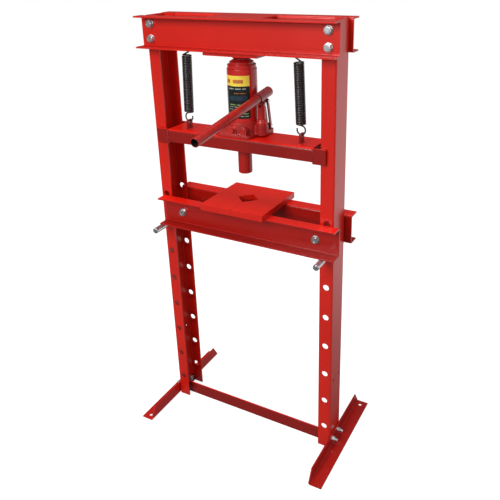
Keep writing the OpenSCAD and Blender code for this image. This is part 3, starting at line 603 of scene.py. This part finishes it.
@dataclass
class ReturnSpring:
    """A close-wound extension spring with an open hook at each end.

    Its wire is one path: an arc in the hook's plane, a bend across the end, the helix, and the same at the
    top. The pitch is the wire times pitch_slack, or a little more, so that the turns end in a half.
    """

    side: str
    wire: float = 4.4 * MM
    outside: float = 29.0 * MM
    end_angle: float = 20.0
    bend_angle: float = 120.0
    lower_reach: float = 25.5 * MM
    upper_reach: float = 30.5 * MM
    pitch_slack: float = 1.03
    bend_pull: float = 1.5
    arc_steps: int = 44
    bend_steps: int = 20
    steps_per_turn: int = 32
    sides: int = 10

    def hook_path(self, start: np.ndarray) -> tuple[np.ndarray, np.ndarray]:
        """Works out the hook's arc and the bend from it to the helix.

        The arc is r (cos a, sin a) in the XZ plane. The bend is a cubic that leaves along the arc and reaches
        the helix along +Y. The reference turns from +Y on the arc to -X at the helix.

        Args:
            start: First point of the helix, on +X.

        Returns:
            Points from the hook's free end to just before the helix, and the reference at each.
        """
        radius = (self.outside - self.wire) / 2
        angles = np.radians(np.linspace(360 + self.end_angle, self.bend_angle, self.arc_steps))
        arc = np.stack([np.cos(angles), np.zeros_like(angles), 1 + np.sin(angles)], axis=-1) * radius
        leave = np.array([math.sin(angles[-1]), 0.0, -math.cos(angles[-1])])
        t = np.linspace(0, 1, self.bend_steps + 2)[1:-1, None]
        pull = self.bend_pull * radius
        bend = ((2 * t**3 - 3 * t**2 + 1) * arc[-1] + (t**3 - 2 * t**2 + t) * leave * pull
                + (3 * t**2 - 2 * t**3) * start + (t**3 - t**2) * np.array([0.0, pull, 0.0]))
        across = np.array([0.0, 1.0, 0.0])
        reference = np.vstack([np.broadcast_to(across, arc.shape), (1 - t) * across + t * (-1.0, 0.0, 0.0)])
        return np.vstack([arc, bend]), reference

    def build(self) -> bpy.types.Object:
        """Makes the spring between its tab and its ear.

        Returns:
            The spring.
        """
        node = f"spring_{self.side}"
        low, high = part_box(node)
        sign = -1.0 if self.side == "left" else 1.0
        half = self.outside / 2
        outer, inner = (low.x, high.x) if sign < 0 else (high.x, low.x)
        bottom = Vector((outer - sign * half, (low.y + high.y) / 2, low.z + self.wire / 2))
        top = Vector((inner + sign * half, bottom.y, high.z - self.wire / 2))
        span = (top - bottom).length
        radius = (self.outside - self.wire) / 2
        first, last = self.lower_reach + self.wire / 2, span - self.upper_reach - self.wire / 2
        turns = math.floor((last - first) / (self.wire * self.pitch_slack) - 0.5) + 0.5
        t = np.linspace(0, 1, int(turns * self.steps_per_turn))
        angle = 2 * math.pi * turns * t
        outward = np.stack([np.cos(angle), np.sin(angle), np.zeros_like(angle)], axis=-1)
        helix = radius * outward + np.outer(first + (last - first) * t, (0.0, 0.0, 1.0))
        flip = np.array([-1.0, 1.0, -1.0])
        lift = np.array([0.0, 0.0, span])
        lower, lower_reference = self.hook_path(helix[0])
        upper, upper_reference = self.hook_path((helix[-1] - lift) * flip)
        path = np.vstack([lower, helix, upper[::-1] * flip + lift])
        reference = np.vstack([lower_reference, -outward, upper_reference[::-1] * flip])
        mirror = np.array([-sign, 1.0, 1.0])
        rings = swept(path * mirror, reference * mirror, self.wire / 2, self.sides)
        upright = (top - bottom).normalized()
        turn = Matrix(((upright.z, 0.0, upright.x), (0.0, 1.0, 0.0), (-upright.x, 0.0, upright.z)))
        matrix = Matrix.Translation(bottom) @ turn.to_4x4()
        shell = Shell(f"return_spring_{self.side}").grid(placed(capped(rings), matrix), wrap_v=True)
        piece = shell.build([SPRING])
        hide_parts(node)
        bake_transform(piece)
        self.weigh(piece)
        log.info("%s: %.1f turns", piece.name, turns)
        return piece

    def weigh(self, piece: bpy.types.Object) -> None:
        """Reads the positions of the spring's points; it gives them no weights.

        Args:
            piece: The spring.
        """
        points = np.empty(len(piece.data.vertices) * 3, np.float32)
        piece.data.vertices.foreach_get("co", points)


# ---------------------------------------------------------------------------- fasteners


@dataclass
class HexBolt:
    """A hexagon bolt with a washer face, a domed chamfer on its head and a thread at its end."""

    diameter: float
    shank: float
    thread: float
    pitch: float = 1.75 * MM
    across_share: float = 1.58
    head_share: float = 0.63
    thread_depth: float = 0.54
    sides: int = 48
    steps_per_pitch: int = 8

    @property
    def across(self) -> float:
        """Distance across the flats."""
        return self.diameter * self.across_share

    @property
    def head(self) -> float:
        """Height of the head."""
        return self.diameter * self.head_share

    def head_points(self) -> np.ndarray:
        """Turns the head's profile and cuts it to a hexagon, which leaves the arcs of the chamfer.

        The profile is the washer face, the rounded lower corner, the side, the chamfer and the dished top.

        Returns:
            Grid of points from the seat to the top.
        """
        a, h, soft = self.across / 2, self.head, 0.25 * MM
        corner = a / math.cos(math.pi / 6)
        profile = np.array([
            [0.0, 0.0], [a * 0.95, 0.0], [a * 0.97, 0.3 * MM], [corner - soft, 0.3 * MM],
            [corner + soft, 0.7 * MM], [corner + soft, h * 0.55], [corner, h - (corner - a) * 0.62],
            [a * 0.99, h - 0.12 * MM], [a * 0.93, h], [a * 0.62, h], [a * 0.58, h - 0.25 * MM],
            [0.0, h - 0.25 * MM]])
        return turned(profile, self.sides, hexagon(self.across))

    def shank_points(self) -> np.ndarray:
        """Turns the shank, whose lower part has a thread.

        The thread's radius is R - d (1 - cos(2 pi (z / pitch - a / 2 pi))) / 2, with its depth d growing from
        nothing over the first pitch. The tip is a cone that goes 0.7 of a pitch in over its last 0.9.

        Returns:
            Grid of points from the seat to the tip.
        """
        steps = int(self.thread / self.pitch * self.steps_per_pitch)
        plain = np.linspace(0.0, self.shank - self.thread, 3)[:-1]
        z = np.concatenate([plain, np.linspace(self.shank - self.thread, self.shank, steps)])
        angles = np.linspace(0, 2 * math.pi, self.sides, endpoint=False)
        depth = self.thread_depth * self.pitch * np.clip((z - self.shank + self.thread) / self.pitch, 0, 1)
        turn = z[:, None] / self.pitch - angles[None] / (2 * math.pi)
        radius = self.diameter / 2 - depth[:, None] * (1 - np.cos(2 * math.pi * turn)) / 2
        tip = np.clip((self.shank - z) / (0.9 * self.pitch), 0, 1)[:, None]
        radius = np.minimum(radius, self.diameter / 2 - self.pitch * 0.7 * (1 - tip))
        height = np.repeat(-z[:, None], self.sides, axis=1)
        return np.dstack([radius * np.cos(angles), radius * np.sin(angles), height])

    def add_to(self, shell: Shell, matrix: Matrix) -> None:
        """Adds the bolt to a shell.

        Args:
            shell: Shell that gathers bolts.
            matrix: Place of the bolt's seat, with the head on its +Z side.
        """
        shell.grid(placed(self.head_points(), matrix), wrap_v=True)
        shell.grid(placed(capped(self.shank_points()), matrix), wrap_v=True)


@dataclass
class FastenerSet:
    """All bolts of one CAD node, drawn with threads, each with the place of its seat.

    Each head is turned by spin degrees from the one before, as bolts end up when they are tightened.
    """

    node: str
    body: Body
    bolts: list[tuple[HexBolt, Matrix]]
    spin: float = 37.0

    def build(self) -> bpy.types.Object:
        """Makes the bolts as one piece.

        Returns:
            The piece, which stands for the CAD node.
        """
        shell = Shell(f"{self.node}_threaded")
        for i, (bolt, seat) in enumerate(self.bolts):
            bolt.add_to(shell, seat @ Matrix.Rotation(math.radians(self.spin * i), 4, "Z"))
        return settle(shell.build([ZINC], smooth_angle=32), self.body, [self.node])


@dataclass
class Fasteners:
    """The press's bolts, on the seats that the frame's boxes give."""

    large: float = 12 * MM
    small: float = 10 * MM
    small_pitch: float = 1.5 * MM
    washer: float = 2.5 * MM
    crossmember_grip: float = 8.5 * MM
    crossmember_tail: float = 12 * MM
    crossmember_thread: float = 15 * MM
    bed_thread: float = 26 * MM
    foot_thread: float = 16 * MM
    spreader_wall: float = 4 * MM

    def crossmember(self) -> FastenerSet:
        """Places the crossmember's eight bolts, four at the front and four at the back.

        Returns:
            The set.
        """
        low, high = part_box("crossmember_washers")
        shank = self.washer + self.crossmember_grip + self.crossmember_tail
        bolt = HexBolt(self.large, shank, self.crossmember_thread)
        seats = [facing(Vector((x, y, z)), Vector((0, side, 0)))
                 for side, y in ((-1, low.y), (1, high.y))
                 for x in (low.x + self.large, high.x - self.large)
                 for z in (low.z + self.large, high.z - self.large)]
        return FastenerSet("crossmember_bolts", Body.FRAME, [(bolt, seat) for seat in seats])

    def bed(self) -> FastenerSet:
        """Places the bed's two tie bolts, with their heads at the front.

        Returns:
            The set.
        """
        low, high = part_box("bed_tie_washers")
        bolt = HexBolt(self.large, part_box("bed_tie_bolts")[1].y - low.y, self.bed_thread)
        seats = [facing(Vector((x, low.y, (low.z + high.z) / 2)), Vector((0, -1, 0)))
                 for x in (low.x + self.large, high.x - self.large)]
        return FastenerSet("bed_tie_bolts", Body.BED, [(bolt, seat) for seat in seats])

    def feet(self) -> FastenerSet:
        """Places the feet's four bolts, with their heads inside. The rear ones hold the spreader too.

        Returns:
            The set.
        """
        low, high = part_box("foot_bolts")
        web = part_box("base_spreader")[1].x
        middle = (low.z + high.z) / 2
        bolts = []
        for end, y, x in ((1, low.y, web), (-1, high.y, web - self.spreader_wall)):
            bolt = HexBolt(self.small, high.x - x, self.foot_thread, self.small_pitch)
            centre = y + end * bolt.across / 2
            for side in (-1, 1):
                bolts.append((bolt, facing(Vector((side * x, centre, middle)), Vector((-side, 0, 0)))))
        return FastenerSet("foot_bolts", Body.FRAME, bolts)

    def build(self) -> None:
        """Makes every set."""
        for group in (self.crossmember(), self.bed(), self.feet()):
            group.build()


# ---------------------------------------------------------------------------- welds


@dataclass
class WeldBead:
    """A fillet weld: a round bead with a ripple along it, sunk into the corner that it fills."""

    name: str
    body: Body
    radius: float = 2.2 * MM
    ripple: float = 0.09
    ripple_pitch: float = 2.4 * MM
    steps_per_ripple: int = 6
    sides: int = 12
    finish: Finish = PAINT
    runs: list[tuple[Vector, Vector]] = field(default_factory=list)

    def build(self) -> bpy.types.Object:
        """Sweeps every run with a radius of r (1 + ripple cos(2 pi s / pitch)), tapered at its ends.

        Returns:
            The beads as one piece.
        """
        shell = Shell(self.name)
        for start, end in self.runs:
            length = (end - start).length
            steps = max(6, int(length / self.ripple_pitch * self.steps_per_ripple))
            s = np.linspace(0, length, steps)
            path = np.array(start) + np.outer(s / length, np.array(end - start))
            lobe = 1 + self.ripple * np.cos(2 * math.pi * s / self.ripple_pitch)
            taper = np.sqrt(np.clip(np.minimum(s, length - s) / self.radius, 0.04, 1))
            run = np.array((end - start).normalized())
            reference = np.array([0.0, 0.0, 1.0]) if abs(run[2]) < 0.9 else np.array([1.0, 0.0, 0.0])
            shell.grid(capped(swept(path, reference, self.radius, self.sides, lobe * taper)), wrap_v=True)
        return settle(shell.build([self.finish]), self.body)


@dataclass
class Welds:
    """The weld beads of the frame and of the carriage."""

    plate_inset: float = 4 * MM
    guide_inset: float = 3 * MM
    tab_inset: float = 1 * MM
    tab_thickness: float = 5 * MM
    tab_radius: float = 1.8 * MM
    ram_radius: float = 3 * MM
    ram_sunk: float = 0.5 * MM
    ram_ripple: float = 0.08
    ram_lobes: int = 54
    ram_steps: int = 240
    ram_sides: int = 12

    def build(self) -> None:
        """Makes the beads at the head plate, at the guides, at the tabs and round the ram."""
        self.plate()
        self.guides()
        self.tabs()
        self.ram()

    def plate(self) -> None:
        """Makes a bead along the two long sides of the head plate, at its top."""
        low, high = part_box("head_plate")
        ends = (low.x + self.plate_inset, high.x - self.plate_inset)
        runs = [(Vector((ends[0], y, high.z)), Vector((ends[1], y, high.z))) for y in (low.y, high.y)]
        WeldBead("head_plate_weld", Body.FRAME, runs=runs).build()

    def guides(self) -> None:
        """Makes a bead down the inner end of each guide plate, on the beam's side."""
        beam_low, beam_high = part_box("carriage_beam")
        bottom, top = beam_low.z + self.guide_inset, beam_high.z - self.guide_inset
        runs = []
        for side in ("left", "right"):
            low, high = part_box(f"carriage_guides_{side}")
            x = high.x if side == "left" else low.x
            for y in (beam_low.y, beam_high.y):
                runs.append((Vector((x, y, bottom)), Vector((x, y, top))))
        WeldBead("guide_welds", Body.CARRIAGE, finish=SHADED_PAINT, runs=runs).build()

    def tabs(self) -> None:
        """Makes a bead along both sides of each spring tab, on the beam."""
        low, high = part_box("spring_tabs")
        front, rear = low.y + self.tab_inset, high.y - self.tab_inset
        faces = (low.x, low.x + self.tab_thickness, high.x - self.tab_thickness, high.x)
        runs = [(Vector((x, front, low.z)), Vector((x, rear, low.z))) for x in faces]
        WeldBead("tab_welds", Body.CARRIAGE, radius=self.tab_radius, finish=SHADED_PAINT, runs=runs).build()

    def ram(self) -> None:
        """Makes the ring of weld round the top of the ram, under the beam.

        It is a torus about the ram whose tube has the radius r (1 + ripple cos(lobes a)) at the angle a.
        """
        low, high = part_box("ram")
        middle = (low + high) / 2
        angle = np.linspace(0, 2 * math.pi, self.ram_steps, endpoint=False)[:, None]
        tube = np.linspace(0, 2 * math.pi, self.ram_sides, endpoint=False)
        lobe = self.ram_radius * (1 + self.ram_ripple * np.cos(self.ram_lobes * angle))
        ring = (high.x - low.x) / 2 + lobe * np.cos(tube)
        height = high.z - self.ram_sunk + lobe * np.sin(tube)
        points = np.dstack([middle.x + ring * np.cos(angle), middle.y + ring * np.sin(angle), height])
        settle(Shell("ram_weld").grid(points, wrap_u=True, wrap_v=True).build([SHADED_PAINT]), Body.CARRIAGE)


# ---------------------------------------------------------------------------- jack


class Ink(Enum):
    """Colours printed on the jack's label, as numbers of its material slots."""

    YELLOW = 0
    BLACK = 1
    WHITE = 2
    RED = 3
    GREEN = 4
    BLUE = 5


@dataclass(frozen=True)
class LabelRow:
    """A row of plain bars: its middle's height and its thickness in millimetres, and each bar's angles."""

    height: float
    thick: float
    ink: Ink
    bars: tuple[Span, ...]


@dataclass
class TankLabel:
    """The label round the tank: a yellow band over a dark field, both with rows of plain bars.

    A point of it is the tank's axis plus R (sin a, -cos a) at height z, with a from the front to the right.
    """

    half_angle: float = 59.0
    step_angle: float = 2.5
    bottom: float = 12.0 * MM
    seam: float = 102.0 * MM
    top: float = 130.5 * MM
    sunk: float = 0.05 * MM
    lift: float = 0.12 * MM
    bar_lift: float = 0.05 * MM
    rows: tuple[LabelRow, ...] = (
        LabelRow(115, 10.0, Ink.RED, ((-40, -20), (-6, 34))),
        LabelRow(69, 12.0, Ink.BLUE, ((-26, 50),)),
        LabelRow(95, 3.0, Ink.WHITE, ((-28, -4), (2, 24), (30, 44))),
        LabelRow(83, 1.4, Ink.RED, ((-4, 16), (20, 42))),
        LabelRow(51, 2.2, Ink.GREEN, ((-26, 2), (7, 30))),
        LabelRow(45, 1.6, Ink.WHITE, ((-26, -8), (-4, 18), (22, 44))),
        LabelRow(38, 1.4, Ink.WHITE, ((-30, -8), (-3, 24), (28, 42))),
        LabelRow(26, 2.0, Ink.GREEN, ((8, 26), (30, 52))),
        LabelRow(19, 2.0, Ink.WHITE, ((-4, 18), (22, 34), (38, 52))))

    def patch(self, angles: Span, heights: Span, lift: float) -> np.ndarray:
        """Works out a rectangle of the label as a thin closed band.

        Args:
            angles: Angles of its sides, in degrees from the front.
            heights: Heights of its lower and upper edge above the tank's foot.
            lift: Distance of its outer face from the tank.

        Returns:
            Grid whose rows go round the band's cross-section.
        """
        low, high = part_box("jack_tank")
        axis = ((low.x + high.x) / 2, (low.y + high.y) / 2)
        radius = (high.y - low.y) / 2
        steps = max(2, int(abs(angles[1] - angles[0]) / self.step_angle) + 1)
        a = np.radians(np.linspace(angles[0], angles[1], steps))
        section = [(-self.sunk, heights[0]), (lift, heights[0]), (lift, heights[1]), (-self.sunk, heights[1])]
        rows = [np.stack([axis[0] + (radius + r) * np.sin(a), axis[1] - (radius + r) * np.cos(a),
                          np.full_like(a, low.z + z)], axis=-1) for r, z in section]
        return np.stack(rows)

    def add(self, shell: Shell, angles: Span, heights: Span, lift: float, ink: Ink) -> None:
        """Adds a closed rectangle to the label.

        Args:
            shell: Shell of the label.
            angles: Angles of its sides.
            heights: Heights of its edges.
            lift: Distance of its face from the tank.
            ink: Its colour.
        """
        band = self.patch(angles, heights, lift)
        shell.grid(band, wrap_u=True, slot=ink.value)
        for end in (0, -1):
            shell.grid(band[[0, 1, 3, 2], end].reshape(2, 2, 3), slot=ink.value)

    def build(self) -> bpy.types.Object:
        """Makes the label with its bars.

        Returns:
            The label.
        """
        shell = Shell("tank_label")
        sides = (-self.half_angle, self.half_angle)
        self.add(shell, sides, (self.seam, self.top), self.lift, Ink.YELLOW)
        self.add(shell, sides, (self.bottom, self.seam), self.lift, Ink.BLACK)
        for row in self.rows:
            heights = ((row.height - row.thick / 2) * MM, (row.height + row.thick / 2) * MM)
            for bar in row.bars:
                self.add(shell, bar, heights, self.lift + self.bar_lift, row.ink)
        finishes = [LABEL_YELLOW, LABEL_BLACK, LABEL_WHITE, LABEL_RED, LABEL_GREEN, LABEL_BLUE]
        return settle(shell.build(finishes, smooth_angle=40), Body.CARRIAGE)


@dataclass
class HandleShade:
    """Painted shade in the handle: a near-black cup in the open end of its tube and a dark ring at the socket's
    mouth.

    Its sizes are the tube's wall, the cup's skin, depth and inset, and the ring's clearance from the tube,
    its width (gap) and its height (lift).
    """

    wall: float = 1.6 * MM
    skin: float = 0.4 * MM
    depth: float = 70.0 * MM
    inset: float = 1.0 * MM
    clearance: float = 0.05 * MM
    gap: float = 1.4 * MM
    lift: float = 1.2 * MM
    sides: int = 48

    @staticmethod
    def points(node: str) -> np.ndarray:
        """Reads the points of a CAD node.

        Args:
            node: Name of the node.

        Returns:
            Rows of three coordinates.
        """
        mesh = frame["nodes"][node].data
        found = np.empty(len(mesh.vertices) * 3, np.float32)
        mesh.vertices.foreach_get("co", found)
        return found.reshape(-1, 3).astype(float)

    def build(self) -> bpy.types.Object:
        """Turns a cup and a ring about the tube's axis, which the tube's own points give. Both are dark, as
        painted shade.

        The axis is the first principal direction of the points, toward the end that is farther from the
        socket.

        Returns:
            The cup and the ring as one piece.
        """
        tube, socket = self.points("handle_tube"), self.points("handle_socket")
        middle = (tube.min(axis=0) + tube.max(axis=0)) / 2
        axis = np.linalg.svd(tube - middle, full_matrices=False)[2][0]
        axis = -axis if axis @ (socket.mean(axis=0) - middle) > 0 else axis
        along = (tube - middle) @ axis
        outside = np.linalg.norm(tube - middle - along[:, None] * axis, axis=1).max()
        bore = outside - self.wall
        inner = bore - self.skin
        cup = np.array([[0.0, -self.depth], [bore, -self.depth], [bore, -self.inset], [inner, -self.inset],
                        [inner, self.skin - self.depth], [0.0, self.skin - self.depth]])
        near = outside + self.clearance
        ring = np.array([[near, 0.0], [near + self.gap, 0.0], [near + self.gap, self.lift], [near, self.lift],
                         [near, 0.0]])
        shell = Shell("handle_painted_shade")
        for profile, end in ((cup, along.max()), (ring, ((socket - middle) @ axis).max())):
            place = facing(Vector(middle + axis * end), Vector(axis))
            shell.grid(placed(turned(profile, self.sides), place), wrap_v=True)
        return settle(shell.build([PAINTED_SHADE], smooth_angle=40), Body.HANDLE)


@dataclass
class CastBase:
    """The jack's base as a casting: the CAD's solid with its edges and corners rounded off."""

    grain: float = 1.15 * MM
    smoothing: int = 7
    strength: float = 0.5

    def build(self) -> bpy.types.Object:
        """Remeshes a copy of the CAD's base evenly and smooths it.

        Returns:
            The casting.
        """
        source = frame["nodes"]["jack_base"]
        piece = source.copy()
        piece.data = source.data.copy()
        piece.name = "jack_base_casting"
        piece.parent = None
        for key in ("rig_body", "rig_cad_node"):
            if key in piece:
                del piece[key]
        bpy.context.scene.collection.objects.link(piece)
        weld = piece.modifiers.new("merge", "WELD")
        weld.merge_threshold = MERGE_DISTANCE
        even = piece.modifiers.new("even", "REMESH")
        even.mode = "VOXEL"
        even.voxel_size = self.grain
        even.use_smooth_shade = True
        smooth = piece.modifiers.new("round", "SMOOTH")
        smooth.factor = self.strength
        smooth.iterations = self.smoothing
        flatten(piece)
        piece.data.materials.clear()
        piece.data.materials.append(CAST_PAINT.build())
        return settle(piece, Body.CARRIAGE, ["jack_base"])


def flatten(piece: bpy.types.Object) -> None:
    """Applies a piece's modifiers to its mesh.

    Args:
        piece: The piece, which keeps its place.
    """
    graph = bpy.context.evaluated_depsgraph_get()
    mesh = bpy.data.meshes.new_from_object(piece.evaluated_get(graph))
    piece.modifiers.clear()
    piece.data = mesh


# ---------------------------------------------------------------------------- studio


@dataclass(frozen=True)
class Lamp:
    """A square area light: its place, the point it faces, the length of its side and its power in watts."""

    name: str
    place: Triple
    aim: Triple
    size: float
    power: float

    def build(self) -> None:
        """Hangs the light in the scene."""
        data = bpy.data.lights.new(self.name, "AREA")
        data.shape = "SQUARE"
        data.size = self.size
        data.energy = self.power
        made = bpy.data.objects.new(self.name, data)
        made.location = self.place
        made.rotation_euler = (Vector(self.aim) - Vector(self.place)).to_track_quat("-Z", "Y").to_euler()
        bpy.context.scene.collection.objects.link(made)


@dataclass
class Studio:
    """Pale floor and sky, soft lights and the camera.

    The floor and the sky look near white. In reflections the floor goes from mirror's first value in front of
    the press to its second behind it, and the sky from sky_mirror's first to its second on the right.
    """

    azimuth: float = 28.564
    elevation: float = 21.484
    roll: float = -1.267
    place: Triple = (0.84799, -1.40752, 1.45500)
    lens: float = 42.68
    sensor: float = 36.0
    shift: Span = (-0.0443, -0.1135)
    clip: Span = (0.05, 50.0)
    floor_half: float = 30.0
    floor_drop: float = 0.5 * MM
    floor_tone: float = 0.40
    floor_glow: float = 0.86
    mirror: Span = (0.18, 0.95)
    mirror_y: Span = (-0.1, 1.6)
    sky: float = 0.35
    sky_mirror: Span = (0.10, 0.5)
    sky_mirror_x: Span = (0.1, 0.7)
    lamps: tuple[Lamp, ...] = (
        Lamp("key", (-0.5, -3.6, 2.7), (0.0, 0.0, 0.8), 2.0, 124.0),
        Lamp("top", (0.0, 0.0, 4.0), (0.0, 0.0, 0.0), 2.5, 60.0),
        Lamp("side", (3.2, 0.2, 2.2), (0.0, 0.0, 0.8), 1.6, 17.0))

    def camera(self) -> None:
        """Makes the camera. Its X axis is the level right axis, rolled about the line of sight."""
        a, e, r = (math.radians(v) for v in (self.azimuth, self.elevation, self.roll))
        sight = Vector((-math.sin(a) * math.cos(e), math.cos(a) * math.cos(e), -math.sin(e)))
        right = Vector((math.cos(a), math.sin(a), 0))
        up = right.cross(sight)
        x = right * math.cos(r) + up * math.sin(r)
        y = up * math.cos(r) - right * math.sin(r)
        data = bpy.data.cameras.new("camera")
        data.lens = self.lens
        data.sensor_width = self.sensor
        data.shift_x, data.shift_y = self.shift
        data.clip_start, data.clip_end = self.clip
        made = bpy.data.objects.new("camera", data)
        turn = Matrix((x, y, -sight)).transposed().to_4x4()
        made.matrix_world = Matrix.Translation(self.place) @ turn
        bpy.context.scene.collection.objects.link(made)
        bpy.context.scene.camera = made

    def floor(self) -> None:
        """Makes the floor, which glows to the eye and in reflections and is a dull grey to the lights."""
        z = CAD_BOX[0].z - self.floor_drop
        half = self.floor_half
        corners = [(-half, -half, z), (half, -half, z), (half, half, z), (-half, half, z)]
        mesh = bpy.data.meshes.new("studio_floor")
        mesh.from_pydata(corners, [], [(0, 1, 2, 3)])
        made = bpy.data.objects.new("studio_floor", mesh)
        bpy.context.scene.collection.objects.link(made)
        material = bpy.data.materials.new("studio_floor")
        material.use_nodes = True
        sheet = NodeSheet(material.node_tree)
        shader = material.node_tree.nodes["Principled BSDF"]
        shader.inputs["Roughness"].default_value = 0.8
        shader.inputs["Specular IOR Level"].default_value = 0.0
        shader.inputs["Emission Color"].default_value = (1.0, 1.0, 1.0, 1.0)
        ray = sheet.add("ShaderNodeLightPath").outputs
        where = sheet.add("ShaderNodeTexCoord").outputs["Object"]
        tone = sheet.spread(ray["Is Glossy Ray"], self.floor_tone, 0.0)
        grey = sheet.add("ShaderNodeCombineColor", {"Red": tone, "Green": tone, "Blue": tone}).outputs[0]
        behind = sheet.ease(sheet.part(where, "Y"), self.mirror_y, self.mirror)
        glow = sheet.math("ADD", sheet.math("MULTIPLY", ray["Is Camera Ray"], self.floor_glow),
                          sheet.math("MULTIPLY", ray["Is Glossy Ray"], behind))
        material.node_tree.links.new(grey, shader.inputs["Base Color"])
        material.node_tree.links.new(glow, shader.inputs["Emission Strength"])
        mesh.materials.append(material)

    def world(self) -> None:
        """Makes the sky, which is white to the eye, a soft light on the press and dim in most reflections."""
        world = bpy.data.worlds.new("studio")
        world.use_nodes = True
        sheet = NodeSheet(world.node_tree)
        ray = sheet.add("ShaderNodeLightPath").outputs
        toward = sheet.add("ShaderNodeTexCoord").outputs["Generated"]
        side = sheet.ease(sheet.part(toward, "X"), self.sky_mirror_x, self.sky_mirror)
        soft = sheet.math("MULTIPLY", ray["Is Diffuse Ray"], self.sky)
        seen = sheet.math("ADD", ray["Is Camera Ray"], sheet.math("MULTIPLY", ray["Is Glossy Ray"], side))
        background = world.node_tree.nodes["Background"]
        background.inputs["Color"].default_value = (1.0, 1.0, 1.0, 1.0)
        world.node_tree.links.new(sheet.math("ADD", soft, seen), background.inputs["Strength"])
        bpy.context.scene.world = world

    def build(self) -> None:
        """Makes the whole studio."""
        self.camera()
        self.floor()
        self.world()
        for lamp in self.lamps:
            lamp.build()
        bpy.context.scene.view_settings.view_transform = "Standard"


def main() -> None:
    """Builds the press's looks, piece by piece."""
    logging.basicConfig(level=logging.INFO, format="%(name)s %(message)s")
    Studio().build()
    CadDresser().build()
    for side in ("left", "right"):
        ReturnSpring(side).build()
    Fasteners().build()
    Welds().build()
    CastBase().build()
    TankLabel().build()
    HandleShade().build()


if __name__ == "__main__":
    main()
